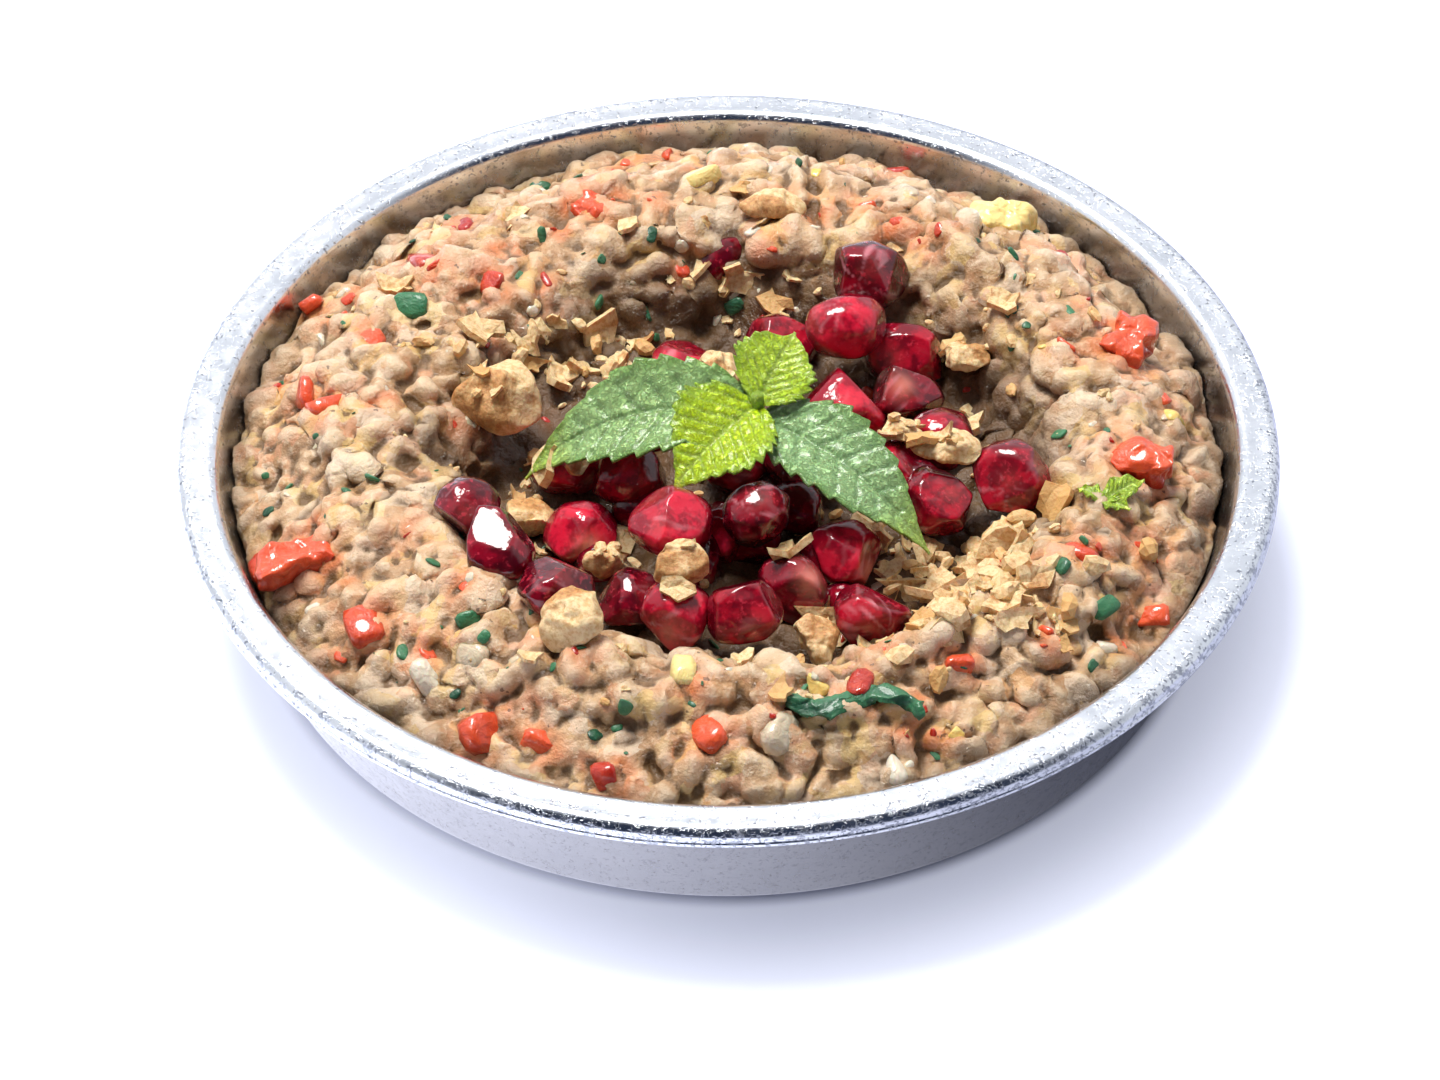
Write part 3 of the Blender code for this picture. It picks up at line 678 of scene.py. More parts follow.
def make_dip(rng):
    """The dip's solid under thousands of lumps and strands of pulp, skinned over as one mass."""
    solid = NODES["baba_ganoush"].data
    heap = Heap(tree_of(solid))
    bm = bmesh.new()
    bm.from_mesh(solid)
    bmesh.ops.remove_doubles(bm, verts=bm.verts, dist=1e-6)
    core = mesh_of(bm)
    core_points = points_of(core)
    core_points[:, 2] -= np.where(core_points[:, 2] > CORE_DROPS_ABOVE, CORE_DROP, 0.0)
    set_points(core, core_points)
    places, centres = [], []
    for count, long, wide, high, sink in PULP:
        for point, normal in scatter(rng, heap, count):
            size = [rng.uniform(*span) for span in (long, wide, high)]
            drop = (sink + 0.8 * rng.random()) * size[2] * MM
            matrix = turned_to(normal, rng.uniform(0, math.tau), rng.uniform(-0.7, 0.7)) @ sized(*size)
            place = Matrix.Translation(point - normal * drop) @ matrix
            places.append((0, place, rng.random()))
            centres.append(place.translation)
    for point, normal in scatter(rng, heap, STRANDS):
        heading, bend, thick = rng.uniform(0, math.tau), rng.uniform(-0.6, 0.6), rng.uniform(0.40, 0.75)
        tone, at = rng.random(), point.copy()
        for _ in range(int(rng.integers(4, 9))):
            spot = heap.under(at.x, at.y)
            if not spot or math.hypot(at.x, at.y) > 57 * MM:
                break
            matrix = turned_to(spot[1], heading) @ sized(thick * 1.5, thick, thick * 0.9)
            places.append((0, Matrix.Translation(spot[0] + spot[1] * 0.5 * thick * MM) @ matrix, tone))
            centres.append(spot[0])
            heading += bend
            at += Vector((math.cos(heading), math.sin(heading), 0.0)) * thick * 1.3 * MM
    lumps = copies_of([ball(2)], places)
    points = points_of(lumps)
    wobble = [noise.noise_vector(Vector(p) / (1.5 * MM)) for p in points]
    set_points(lumps, points + np.array(wobble) * 0.50 * MM)
    joined = bmesh.new()
    joined.from_mesh(core)
    joined.from_mesh(lumps)
    mesh = remeshed(mesh_of(joined), DIP_VOXEL)
    cut = bmesh.new()
    cut.from_mesh(mesh)
    low = bmesh.ops.bisect_plane(
        cut, geom=cut.verts[:] + cut.edges[:] + cut.faces[:], dist=1e-6,
        plane_co=(0, 0, DIP_BOTTOM), plane_no=(0, 0, -1), clear_outer=True
    )
    rims = [e for e in low["geom_cut"] if isinstance(e, bmesh.types.BMEdge)]
    bmesh.ops.holes_fill(cut, edges=rims)
    loose = [v for v in cut.verts if not v.link_faces]
    bmesh.ops.delete(cut, geom=loose, context="VERTS")
    mesh = mesh_of(cut)
    edges = edges_of(mesh)
    points = eased(points_of(mesh), edges, 3, 0.5)
    set_points(mesh, points)
    normals = normals_of(mesh)
    rough = LUMP_HEIGHT * (lumpy(points, LUMP_WIDTH, LUMP_WARP) - LUMP_LEVEL)
    rough += SMALL_LUMP_HEIGHT * (lumpy(points, SMALL_LUMP_WIDTH, LUMP_WARP) - LUMP_LEVEL)
    rough += SWELL_HEIGHT * np.array([noise.noise(Vector(p) / SWELL_WIDTH) for p in points])
    rough += GRAIN_HEIGHT * np.array([noise.noise(Vector(p) / GRAIN_WIDTH) for p in points])
    to_crevice = np.hypot(points[:, 0] - CREVICE.x, points[:, 1] - CREVICE.y) / CREVICE_REACH
    crevice = np.exp(-(to_crevice**2))
    points = points + normals * (rough * MM - crevice * CREVICE_DEPTH)[:, None]
    points = eased(points, edges, 1, 0.4)
    radius = np.hypot(points[:, 0], points[:, 1])
    share = (points[:, 2] - WALL) / (RIM_HEIGHT - WALL)
    limit = (FOOT_RADIUS - WALL) + (MOUTH_RADIUS - FOOT_RADIUS + WALL) * share - WALL_CLEARANCE
    squeeze = np.minimum(1.0, limit / np.maximum(radius, 1e-9))
    points[:, :2] *= squeeze[:, None]
    set_points(mesh, points)
    # How far each point lies below its neighbours' middle: the material reads it for painted highlights on
    # the crests and painted shade in the creases.
    hollow = ((eased(points, edges, 14, 0.5) - points) * normals_of(mesh)).sum(1)
    finder = KDTree(len(centres))
    for i, centre in enumerate(centres):
        finder.insert(centre, i)
    finder.balance()
    tones = np.array([place[2] for place in places])
    tone = tones[[finder.find(Vector(p))[1] for p in points]]
    tone = eased(tone[:, None], edges, 2, 0.6)[:, 0]
    # Painted shade: the pulp is darkened low in the well, near the dish's wall and in the crevice.
    from_well = np.hypot(points[:, 0] - WELL_CENTRE.x, points[:, 1] - WELL_CENTRE.y) / WELL_RADIUS
    low_down = np.clip((23.4 * MM - points[:, 2]) / (5.0 * MM), 0.0, 1.0)
    painted_shade = np.clip((1.22 - from_well) / 0.36, 0.0, 1.0) * low_down
    painted_shade = np.maximum(painted_shade, np.clip((radius - 55.0 * MM) / (4.0 * MM), 0.0, 1.0) * 0.8)
    painted_shade = np.maximum(painted_shade, crevice)
    note(mesh, "hollow", hollow)
    note(mesh, "tone", tone)
    note(mesh, "painted_shade", np.clip(painted_shade, 0.0, 1.0))
    return finished("coarse_dip", mesh, pulp_finish(), ["baba_ganoush"])


# ---- pomegranate ----
def stain_dip(dip, *reds):
    """Colour that the red peppers have let into the dip around them."""
    spots = np.concatenate([points_of(red.data)[::6] for red in reds])
    finder = KDTree(len(spots))
    for i, spot in enumerate(spots):
        finder.insert(spot, i)
    finder.balance()
    away = np.array([finder.find(v.co)[2] for v in dip.data.vertices])
    blotch = np.array([0.6 + noise.noise(v.co / (2.5 * MM)) for v in dip.data.vertices])
    note(dip.data, "stain", np.clip(np.exp(-((away / STAIN_REACH) ** 2)) * blotch, 0.0, 1.0))


def wrapped(mesh, subdivisions, ease):
    """A ball drawn in onto a solid, with its flats eased together: (mesh, centre)."""
    tree = tree_of(mesh)
    low, high = points_of(mesh).min(0), points_of(mesh).max(0)
    centre = Vector((low + high) / 2)
    bm = bmesh.new()
    bmesh.ops.create_icosphere(bm, subdivisions=subdivisions, radius=1.0)
    for vert in bm.verts:
        way = vert.co.normalized()
        hit = tree.ray_cast(centre + way * 40 * MM, -way)[0]
        vert.co = hit if hit is not None else centre + way * 3 * MM
    for _ in range(ease):
        bmesh.ops.smooth_vert(
            bm, verts=bm.verts, factor=0.5, use_axis_x=True, use_axis_y=True, use_axis_z=True
        )
    return mesh_of(bm), centre


def unit(vectors):
    return vectors / np.maximum(np.linalg.norm(vectors, axis=1), 1e-12)[:, None]


def faceted(rng, points, centre, flats, least, most):
    """Points pressed flat on a number of sides, each flat at a share of the shape's own reach that way."""
    points = points - centre
    for way in unit(rng.normal(size=(flats, 3))):
        reach = points @ way
        beyond = np.clip(reach - reach.max() * rng.uniform(least, most), 0.0, None)
        points = points - np.outer(beyond * 0.92, way)
    return points + centre


def make_arils(rng):
    flesh = aril_flesh()
    bright = aril_finish("aril_bright", flesh, (0.74, 0.016, 0.050), (0.20, 0.001, 0.012))
    red = aril_finish("aril_red", flesh, (0.46, 0.007, 0.026), (0.095, 0.001, 0.007))
    deep = aril_finish("aril_deep", flesh, (0.24, 0.003, 0.015), (0.045, 0.001, 0.005))
    made = []
    for name in sorted(n for n in NODES if n.startswith("aril_")):
        number = int(name[-2:])
        mesh, centre = wrapped(NODES[name].data, 5, 3)
        points = points_of(mesh)
        points = np.array(centre) + (points - np.array(centre)) * ARIL_SWELL
        points = faceted(rng, points, np.array(centre), 8, 0.68, 0.90)
        edges = edges_of(mesh)
        points = eased(points, edges, 2, 0.5)
        set_points(mesh, points)
        away = unit(points - np.array(centre))
        axis = unit(rng.normal(size=(1, 3)) * 0.5 + np.array([[0.0, -0.8, 0.7]]))[0]
        seed = np.exp(-(1.0 - away @ axis) / 0.09) * (1.0 if number in SEEDED_ARILS else 0.15)
        pole = unit(rng.normal(size=(1, 3)) * np.array([[1.0, 1.0, 0.5]]))[0]
        side = unit(np.cross(pole, [[0.3, 0.2, 0.9]]))[0]
        angle = np.arctan2(away @ np.cross(pole, side), away @ side)
        layer = 7.0 + len(made)
        rows = zip(angle * 4.0, (away @ pole) * 1.3)
        comb = np.array([noise.noise(Vector((around, along, layer))) for around, along in rows])
        streak = np.clip((comb - 0.18) * 3.5, 0.0, 1.0) * np.clip(away @ axis, 0.0, 1.0)
        streak = streak * rng.choice([0.2, 0.6, 1.0])
        note(mesh, "seed", seed)
        note(mesh, "streak", streak)
        finish = bright if number in BRIGHT_ARILS else deep if number in DEEP_ARILS else red
        made.append(finished(name.replace("aril", "aril_flesh"), mesh, finish, [name]))
    return made


# ---- walnut ----
def make_walnuts(rng, finish):
    """Each piece keeps its solid's outline, with the kernel's folds and rough breaks cut into it."""
    made = []
    for name in sorted(n for n in NODES if n.startswith("walnut_")):
        mesh, centre = wrapped(NODES[name].data, 5, 1)
        points = np.array(centre) + (points_of(mesh) - np.array(centre)) * WALNUT_SWELL
        points = faceted(rng, points, np.array(centre), 8, 0.55, 0.85)
        set_points(mesh, points)
        normals = normals_of(mesh)
        shift = Vector(rng.random(3) * 50)
        spots = [Vector(p) / (4.2 * MM) + shift for p in points]
        folds = np.array([noise.ridged_multi_fractal(at, 0.9, 2.1, 3, 1.0, 2.0) for at in spots])
        chips = np.array([noise.cell(Vector(p) / (1.6 * MM) + shift) for p in points])
        grain = np.array([noise.noise(Vector(p) / (0.8 * MM) + shift) for p in points])
        depth = (1.1 - folds) * 0.22 + chips * 0.26 + grain * 0.16
        points = points - normals * (depth * MM)[:, None]
        set_points(mesh, eased(points, edges_of(mesh), 3, 0.5))
        skin_side = unit(rng.normal(size=(1, 3)))[0]
        skin = np.clip(0.5 + 0.8 * (unit(points - np.array(centre)) @ skin_side), 0.0, 1.0)
        note(mesh, "skin", skin * 0.55)
        note(mesh, "tone", np.full(len(points), rng.uniform(0.45, 1.0)))
        made.append(finished(name.replace("walnut", "walnut_kernel"), mesh, finish, [name]))
    return made


def flake(seed):
    """A thin curled shaving of kernel with a ragged edge."""
    bm = bmesh.new()
    bmesh.ops.create_grid(bm, x_segments=3, y_segments=3, size=1.0)
    for vert in bm.verts:
        ragged = noise.noise_vector(Vector((vert.co.x * 1.3, vert.co.y * 1.3, seed * 9.7)))
        edge = max(abs(vert.co.x), abs(vert.co.y))
        vert.co.xy += ragged.xy * (0.25 + 0.5 * edge)
        vert.co.x *= 1.0 - 0.35 * vert.co.y * math.sin(seed * 2.1)
        vert.co.z = 0.35 * math.sin(seed) * vert.co.x**2 + 0.25 * vert.co.y**2 + ragged.z * 0.30
    bmesh.ops.solidify(bm, geom=bm.faces, thickness=0.52)
    bmesh.ops.triangulate(bm, faces=bm.faces)
    return mesh_of(bm, "flake")


def crumb(seed):
    """A small angular crumb."""
    bm = bmesh.new()
    bmesh.ops.create_cube(bm, size=2.0)
    bmesh.ops.subdivide_edges(bm, edges=bm.edges, cuts=1, use_grid_fill=True)
    for vert in bm.verts:
        vert.co.normalize()
    for i in range(6):
        way = Vector(noise.cell_vector(Vector((seed * 3.3, i * 5.1, 0.5)))) * 2 - Vector((1, 1, 1))
        way.normalize()
        for vert in bm.verts:
            beyond = vert.co.dot(way) - 0.62
            if beyond > 0:
                vert.co -= way * beyond
    bmesh.ops.triangulate(bm, faces=bm.faces)
    return mesh_of(bm, "crumb")


def make_sunken_arils(rng, ground, finish):
    """Arils nearly buried in the dip, whose tops fill the gaps of the pile."""
    bm = bmesh.new()
    for x, y, stands in SUNKEN_ARILS:
        point, _ = ground.under(x * MM, y * MM)
        seed = bmesh.new()
        bmesh.ops.create_icosphere(seed, subdivisions=4, radius=1.0)
        mesh = mesh_of(seed)
        points = faceted(rng, points_of(mesh), np.zeros(3), 9, 0.74, 0.92)
        points = eased(points, edges_of(mesh), 3) * np.array([4.3, 3.6, 3.4]) * MM
        spin = Matrix.Rotation(rng.uniform(0, math.tau), 3, "Z")
        turn = spin @ Matrix.Rotation(rng.uniform(-0.6, 0.6), 3, "Y")
        points = points @ np.array(turn).T + np.array(point) + np.array([0.0, 0.0, stands * MM])
        set_points(mesh, points)
        bm.from_mesh(mesh)
    mesh = mesh_of(bm)
    note(mesh, "seed", np.zeros(len(mesh.vertices)))
    note(mesh, "streak", np.zeros(len(mesh.vertices)))
    return finished("sunken_arils", mesh, finish)


def make_flakes(rng, ground, finish):
    """The larger shavings of walnut, each at its own place round the fruit."""
    templates = [flake(i + 21) for i in range(9)]
    places = []
    for i, (x, y, length) in enumerate(FLAKES):
        point, normal = ground.under(x * MM, y * MM)
        shape = sized(length * 0.5, length * rng.uniform(0.25, 0.40), length * 0.42)
        lean = rng.uniform(-0.5, 0.9)
        matrix = turned_to(normal.lerp(Vector((0, -0.3, 1)), 0.5), rng.uniform(0, math.tau), lean) @ shape
        place = Matrix.Translation(point + Vector((0, 0, length * 0.16 * MM))) @ matrix
        places.append((i % len(templates), place, 0.6 + 0.4 * rng.random()))
    mesh = copies_of(templates, places)
    points = points_of(mesh)
    edge = np.array([noise.noise(Vector(p) / (2.6 * MM)) for p in points])
    note(mesh, "skin", np.clip(0.15 + 1.2 * edge, 0.0, 0.6))
    return finished("walnut_flakes", mesh, finish, smooth=False)


def make_crumbs(rng, ground, arils, finish):
    """Walnut crumbs and shavings, thick at the right of the well and thin elsewhere."""
    templates = [flake(i + 1) for i in range(7)] + [crumb(i + 1) for i in range(5)]
    places = []
    for x, y, spread, count, least, most, shavings in DRIFTS:
        for _ in range(count):
            at = Vector((rng.normal(x, spread) * MM, rng.normal(y, spread) * MM, 60 * MM))
            if math.hypot(at.x, at.y) > 55 * MM:
                continue
            hit = ground.under(at.x, at.y)
            fruit = arils.under(at.x, at.y)
            if not hit or (fruit and fruit[0].z > hit[0].z and rng.random() > 0.04):
                continue
            point, normal = hit if not fruit or fruit[0].z < hit[0].z else fruit
            size = least + (most - least) * rng.random() ** 1.8
            thin = rng.random() < shavings
            which = int(rng.integers(0, 7)) if thin else 7 + int(rng.integers(0, 5))
            shape = sized(size, size * rng.uniform(0.5, 0.9), size * (0.8 if thin else rng.uniform(0.5, 0.8)))
            lean = rng.uniform(-0.7, 0.7)
            matrix = turned_to(normal.lerp(Vector((0, -0.3, 1)), 0.4), rng.uniform(0, math.tau), lean) @ shape
            place = Matrix.Translation(point + Vector((0, 0, size * 0.22 * MM))) @ matrix
            places.append((which, place, rng.random()))
    mesh = copies_of(templates, places)
    note(mesh, "skin", np.random.default_rng(5).random(len(mesh.vertices)) * 0.15)
    return finished("walnut_crumbs", mesh, finish, smooth=False)


# ---- vegetables ----
def make_chips(
    rng, name, heap, spots, extra, sizes, finish, flat=0.5, sink=0.3, squareness=0.6, wobble=0.3
):
    """Cut bits pressed into the heap: the ones at set spots (x, y, length, turn), then more at random."""
    template = block(3 if extra < 40 else 2, squareness)
    places = []
    for x, y, length, turn in spots:
        hit = heap.under(x * MM, y * MM)
        if hit:
            shape = sized(length * 0.5, length * rng.uniform(0.28, 0.4), length * flat * 0.5)
            matrix = turned_to(hit[1], math.radians(turn), rng.uniform(-0.3, 0.3)) @ shape
            place = Matrix.Translation(hit[0] - hit[1] * length * flat * sink * MM * 0.5) @ matrix
            places.append((0, place, rng.random()))
    for point, normal in scatter(rng, heap, extra, 56 * MM):
        length = sizes[0] + (sizes[1] - sizes[0]) * rng.random() ** 2
        shape = sized(length * 0.5, length * rng.uniform(0.2, 0.45), length * flat * 0.5)
        matrix = turned_to(normal, rng.uniform(0, math.tau), rng.uniform(-0.6, 0.6)) @ shape
        place = Matrix.Translation(point - normal * length * flat * sink * MM * 0.5) @ matrix
        places.append((0, place, rng.random()))
    mesh = copies_of([template], places)
    points = points_of(mesh)
    bend = np.array([noise.noise_vector(Vector(p) / (1.6 * MM)) for p in points])
    set_points(mesh, points + bend * wobble * MM)
    return finished(name, mesh, finish)


def make_dice(rng, finishes):
    """The larger pepper dice, with soft edges, a sunken face and the skin's gloss."""
    made = []
    for name in sorted(n for n in NODES if "_pepper" in n):
        mesh, centre = wrapped(NODES[name].data, 5, 2)
        points = points_of(mesh)
        shift = Vector(rng.random(3) * 50)
        bend = np.array([noise.noise_vector(Vector(p) / (3.0 * MM) + shift) for p in points]) * 1.1
        bend += np.array([noise.noise_vector(Vector(p) / (1.0 * MM) + shift) for p in points]) * 0.30
        set_points(mesh, points + bend * MM - np.array([0.0, 0.0, DICE_SINK]))
        # Painted light: the tone rises with height, so each die is lighter on top and darker towards its
        # foot.
        note(mesh, "tone", np.clip(0.5 + (points[:, 2] - centre.z) / (6 * MM), 0, 1))
        piece = finished(name + "_flesh", mesh, finishes[name.split("_")[0]], [name])
        made.append(piece)
    return made


def make_herb(finish):
    """The parsley strip: creased along its length and crumpled, pressed into the heap."""
    bm = bmesh.new()
    bm.from_mesh(NODES["herb_strip"].data)
    bmesh.ops.remove_doubles(bm, verts=bm.verts, dist=1e-6)
    bmesh.ops.subdivide_edges(bm, edges=bm.edges, cuts=3, use_grid_fill=True)
    mesh = mesh_of(bm)
    points = points_of(mesh)
    bend = np.array([noise.noise_vector(Vector(p) / (2.2 * MM)) for p in points]) * 0.9
    bend += np.array([noise.noise_vector(Vector(p) / (0.9 * MM)) for p in points]) * 0.45
    set_points(mesh, points + bend * MM * np.array([1.0, 1.0, 0.6]) + np.array([0.0, 0.0, -0.5 * MM]))
    # Painted light: the strip is lighter where its crumples rise and darker where they sink.
    note(mesh, "tone", np.clip(0.5 + bend[:, 2], 0, 1))
    return finished("herb_leaf", mesh, finish, ["herb_strip"])


# ---- mint ----
def leaf_mesh(azimuth, pitch_stem, pitch_tip, roll, length, width, height, youth, base, teeth=10):
    """A mint leaf: toothed edge, sunken veins with the blade puffed up between them, drooping to its tip."""
    bm = bmesh.new()
    bmesh.ops.create_grid(bm, x_segments=110, y_segments=46, size=0.5)
    stations = 220
    spine = [Vector((0.0, 0.0, height * MM))]
    for i in range(stations):
        pitch = math.radians(pitch_stem + (pitch_tip - pitch_stem) * i / stations)
        spine.append(spine[-1] + Vector((math.cos(pitch), 0.0, math.sin(pitch))) * length * MM / stations)
    lean = Matrix.Rotation(math.radians(roll), 3, "X")
    notes = []
    for vert in bm.verts:
        along, across = vert.co.x + 0.5, vert.co.y * 2.0
        share = math.sin(math.pi * along**0.75) ** (0.75 + 0.7 * along**2) if 0.0 < along < 1.0 else 0.0
        saw = (along * teeth + 0.35 * abs(across)) % 1.0
        half = 0.5 * width * MM * share * (1.0 + (0.16 * saw - 0.06) * abs(across) ** 5) + 0.15 * MM
        reach = abs(across) * half / (length * MM)
        rank = (along - 0.75 * reach) * 9.0
        gap = abs((rank + 0.5) % 1.0 - 0.5) * 2.0
        midrib = math.exp(-((across * half / (0.30 * MM)) ** 2))
        lateral = math.exp(-((gap / 0.20) ** 2)) * (1.0 - 0.5 * abs(across))
        vein = max(midrib, lateral)
        puff = (1.0 - lateral) * (1.0 - midrib) * (1.0 - abs(across) ** 6)
        crinkle = noise.noise(Vector((along * length * 0.9, across * half / MM * 0.9, azimuth * 0.1)))
        lift = (0.42 * puff * min(1.0, share * 1.4) + 0.28 * crinkle) * MM * (0.5 + width / 24.0)
        cup = 0.16 * width * MM * abs(across) ** 1.6 * share
        wave = 0.35 * MM * math.sin(along * 17.0 + (2.0 if across > 0 else 0.0)) * abs(across) ** 3
        side = Vector((0.0, across * half, cup + lift + wave))
        vert.co = spine[round(along * stations)] + lean @ side
        edge = abs(across) ** 8
        tip = max(0.0, along - 0.72) / 0.28
        notes.append((min(1.0, vein + 0.35 * edge), min(1.0, youth + 0.75 * tip + 0.25 * edge), puff))
    bm.transform(Matrix.Translation(base) @ Matrix.Rotation(math.radians(azimuth), 4, "Z"))
    mesh = mesh_of(bm, "leaf")
    for name, values in zip(("vein", "youth", "puff"), np.array(notes).T):
        note(mesh, name, values)
    return mesh


def thickened(piece, thickness):
    modifier = piece.modifiers.new("thickness", "SOLIDIFY")
    modifier.thickness = thickness
    modifier.offset = -1.0
    return piece


def make_mint(finish):
    """Four leaves on a short square stem."""
    for name, *sizes in MINT_LEAVES:
        piece = finished(name, leaf_mesh(*sizes, MINT_BASE), finish)
        thickened(piece, LEAF_THICKNESS)
    bm = bmesh.new()
    bmesh.ops.create_cone(bm, cap_ends=True, segments=12, radius1=0.8 * MM, radius2=0.65 * MM, depth=5.2 * MM)
    rings = [e for e in bm.edges if abs(e.verts[0].co.z - e.verts[1].co.z) > MM]
    bmesh.ops.subdivide_edges(bm, edges=rings, cuts=6)
    for vert in bm.verts:
        corner = math.cos(4.0 * math.atan2(vert.co.y, vert.co.x))
        vert.co.xy *= 1.0 + 0.12 * corner
    bm.transform(Matrix.Translation(MINT_BASE + Vector((0, 0, 2.6 * MM))))
    mesh = mesh_of(bm)
    for name, value in (("vein", 0.3), ("youth", 0.8), ("puff", 0.5)):
        note(mesh, name, np.full(len(mesh.vertices), value))
    finished("mint_stem", mesh, finish, ["mint_sprig"])


def make_mint_tip(finish, heap):
    point, _ = heap.under(*TIP_PLACE)
    base = point - Vector((2.5 * MM, 1.0 * MM, 0.3 * MM))
    for i, (azimuth, length, width) in enumerate(TIP_LEAVES):
        mesh = leaf_mesh(azimuth, 24, -6, 10, length, width, 0.4, 0.8, base, 5)
        thickened(finished(f"mint_tip_{i + 1}", mesh, finish), TIP_THICKNESS)


# ---- the studio ----
def make_floor():
    """A pale floor that glows as painted light, and whose painted reflection in the dish's wall falls off
    from the lit side to the shaded one. Its blue tint shows only in its shade and in that reflection.
    """
    bm = bmesh.new()
    bmesh.ops.create_grid(bm, x_segments=1, y_segments=1, size=3.0)
    mesh = mesh_of(bm, "floor")
    f = Finish("pale_floor", Roughness=0.9)
    f.shader.inputs["Specular IOR Level"].default_value = 0.0
    path = f.node("LightPath")
    place = f.where()
    away = f.node("VectorMath", {0: place}, operation="LENGTH").outputs["Value"]
    across = f.node("SeparateXYZ", {"Vector": place}).outputs[0]
    f.shader.inputs["Emission Color"].default_value = (0.84, 0.87, 1.0, 1.0)
    # Painted light: the floor glows from the dish's foot outwards and more on the left, which lifts the
    # dish's cast shadow, while right at the foot it stays dark.
    near = f.ramp(away, FOOT_RADIUS - 1.0 * MM, FOOT_RADIUS + 1.6 * MM, 0.0, 0.42)
    seen = f.math("ADD", near, f.ramp(away, FOOT_RADIUS, FOOT_RADIUS + 24 * MM, 0.0, 0.72))
    seen = f.math("ADD", seen, f.ramp(across, 10 * MM, -45 * MM, 0.0, 0.30))
    # Painted reflection: what the dish's wall sees of the floor is bright on the left and fades to the right.
    painted_reflection = f.ramp(across, -50 * MM, 55 * MM, 1.80, 0.02)
    glow = f.node("Mix", {"Factor": path.outputs["Is Glossy Ray"], 2: seen, 3: painted_reflection}).outputs[0]
    mesh.materials.append(f.shade(Base_Color=(0.50, 0.53, 0.68, 1.0), Emission_Strength=glow))
    floor = bpy.data.objects.new("floor", mesh)
    floor.location = (0.0, 0.0, -0.00005)
    bpy.context.scene.collection.objects.link(floor)


def make_world():
    """Bright above and behind, dim on the viewer's side, and white where nothing stands."""
    world = bpy.data.worlds.new("studio")
    bpy.context.scene.world = world
    world.use_nodes = True
    f = Tree(world.node_tree)
    way = f.node("TexCoord").outputs["Generated"]
    dot = f.node("VectorMath", {0: way, 1: DIM_SIDE.normalized()}, operation="DOT_PRODUCT")
    facing = dot.outputs["Value"]
    dim = f.ramp(facing, 0.30, 0.70)
    gloss = f.mix(dim, (0.83, 0.86, 0.92), (0.02, 0.03, 0.06))
    soft = f.mix(dim, (0.32, 0.33, 0.35), (0.20, 0.20, 0.22))
    path = f.node("LightPath").outputs
    lit = f.mix(path["Is Glossy Ray"], soft, gloss)
    f.put(f.mix(path["Is Camera Ray"], lit, (1.2, 1.2, 1.2)), f.nodes["Background"].inputs["Color"])


def area_light(name, place, aim, size, watts, colour):
    data = bpy.data.lights.new(name, "AREA")
    data.shape = "DISK"
    data.size = size
    data.energy = watts
    data.color = colour
    lamp = bpy.data.objects.new(name, data)
    lamp.location = place
    lamp.rotation_mode = "QUATERNION"
    lamp.rotation_quaternion = (Vector(aim) - Vector(place)).to_track_quat("-Z", "Y")
    bpy.context.scene.collection.objects.link(lamp)


def make_camera():
    back = Vector((0.0, -math.cos(CAMERA_ELEVATION), math.sin(CAMERA_ELEVATION)))
    right = Vector((1.0, 0.0, 0.0))
    up = back.cross(right)
    across = right * math.cos(CAMERA_ROLL) + up * math.sin(CAMERA_ROLL)
    upward = up * math.cos(CAMERA_ROLL) - right * math.sin(CAMERA_ROLL)
    data = bpy.data.cameras.new("camera")
    data.lens, data.sensor_width, data.sensor_fit = 150.0, 36.0, "HORIZONTAL"
    data.clip_start, data.clip_end = 0.01, 20.0
    camera = bpy.data.objects.new("camera", data)
    turn = Matrix((across, upward, back)).transposed().to_4x4()
    camera.matrix_world = Matrix.Translation(CAMERA_AIM + back * CAMERA_DISTANCE) @ turn
    bpy.context.scene.collection.objects.link(camera)
    bpy.context.scene.camera = camera


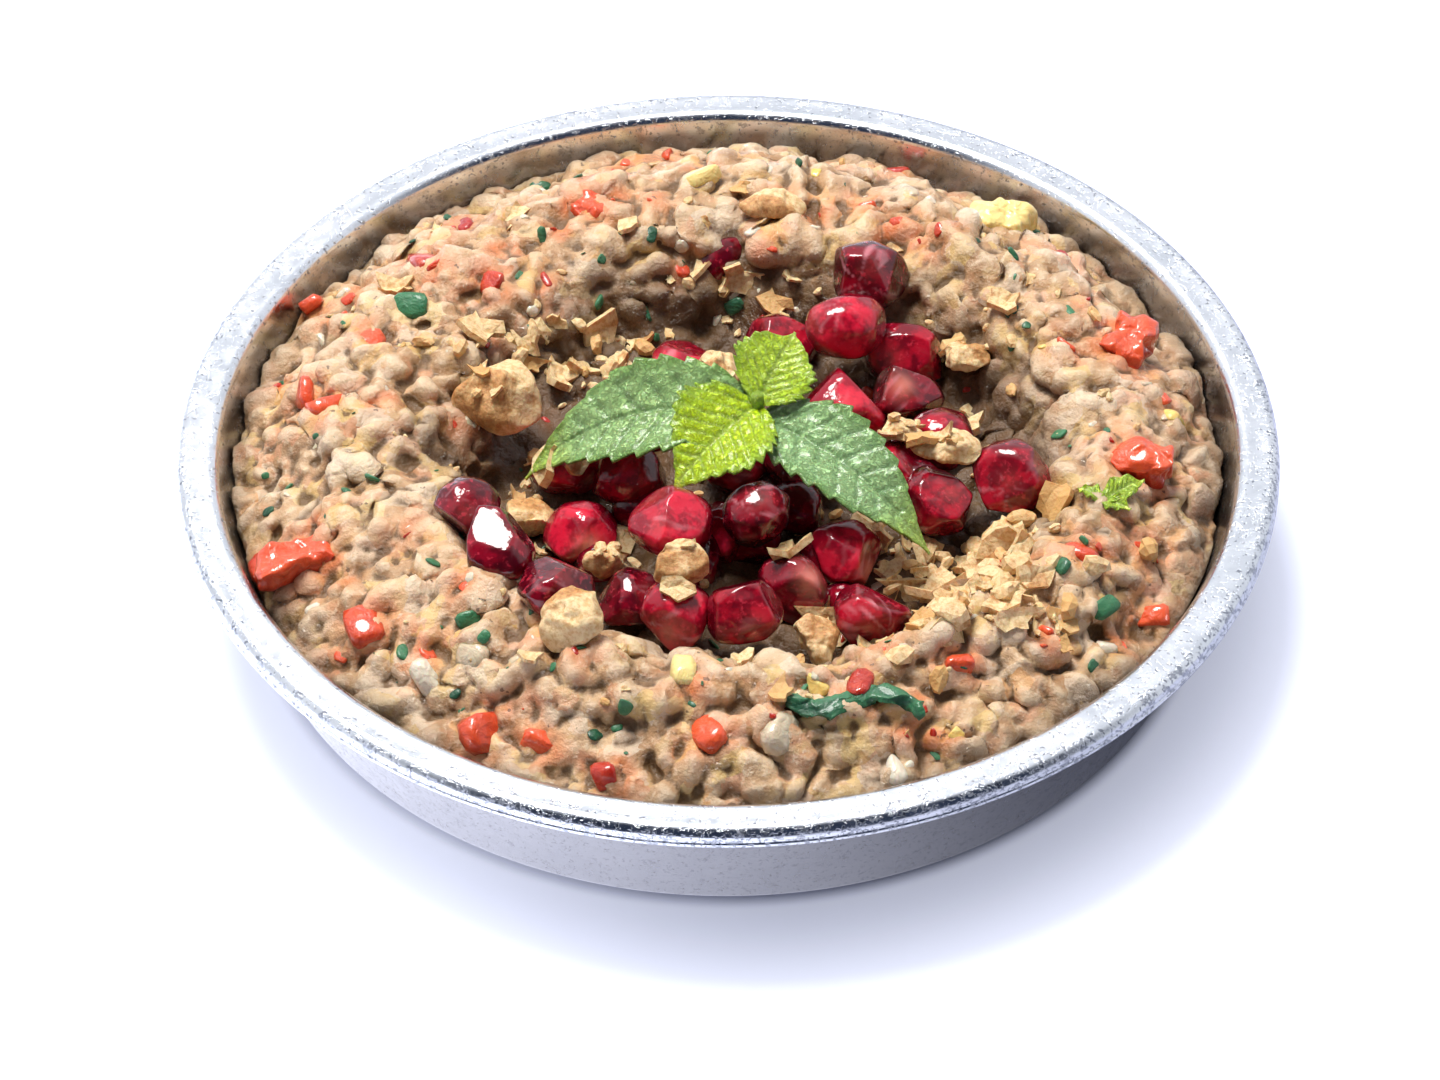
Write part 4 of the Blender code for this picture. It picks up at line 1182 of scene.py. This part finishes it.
def main():
    rng = np.random.default_rng(20)
    make_dish()
    dip = make_dip(rng)
    heap = Heap(tree_of(dip.data))
    arils = make_arils(rng)
    kernel = walnut_finish()
    walnuts = make_walnuts(rng, kernel)
    make_sunken_arils(rng, heap, bpy.data.materials["aril_deep"])
    fruit = Heap(tree_of(*[piece.data for piece in arils]))
    make_crumbs(rng, Heap(tree_of(dip.data, *[p.data for p in walnuts])), fruit, kernel)
    make_flakes(rng, Heap(tree_of(*[p.data for p in [dip, *arils, *walnuts]])), kernel)
    flesh = clouded_flesh()
    red = chip_finish("red_pepper_flesh", flesh, (0.40, 0.010, 0.005), (0.78, 0.10, 0.03), 0.28, 0.8)
    yellow = chip_finish("yellow_pepper_flesh", flesh, (0.80, 0.46, 0.05), (0.93, 0.74, 0.30), 0.32)
    green = chip_finish("herb_green", flesh, (0.012, 0.07, 0.035), (0.05, 0.20, 0.09), 0.4, 0.3)
    onion = chip_finish("pale_flesh", flesh, (0.60, 0.48, 0.32), (0.80, 0.72, 0.58), 0.25, 0.9)
    dice = make_dice(rng, {"red": red, "yellow": yellow})
    make_herb(green)
    bits = make_chips(
        rng, "red_pepper_bits", heap, RED_SPOTS, 90, (0.9, 3.4), red, 0.42, 0.6, 0.5, 0.5
    )
    stain_dip(dip, bits, *[piece for piece in dice if piece.name.startswith("red")])
    make_chips(
        rng, "yellow_pepper_bits", heap, YELLOW_SPOTS, 7, (0.9, 2.6), yellow, 0.5, 0.4
    )
    make_chips(rng, "herb_flecks", heap, HERB_SPOTS, 130, (0.5, 2.2), green, 0.22, 0.1, 0.7)
    make_chips(rng, "pale_bits", heap, PALE_SPOTS, 70, (1.0, 3.0), onion, 0.5, 0.9)
    mint = leaf_finish()
    make_mint(mint)
    make_mint_tip(mint, heap)
    make_floor()
    make_world()
    area_light("key", KEY_PLACE, KEY_AIM, KEY_SIZE, KEY_WATTS, (1.0, 0.975, 0.94))
    make_camera()
    bpy.context.scene.view_settings.view_transform = "Standard"


main()
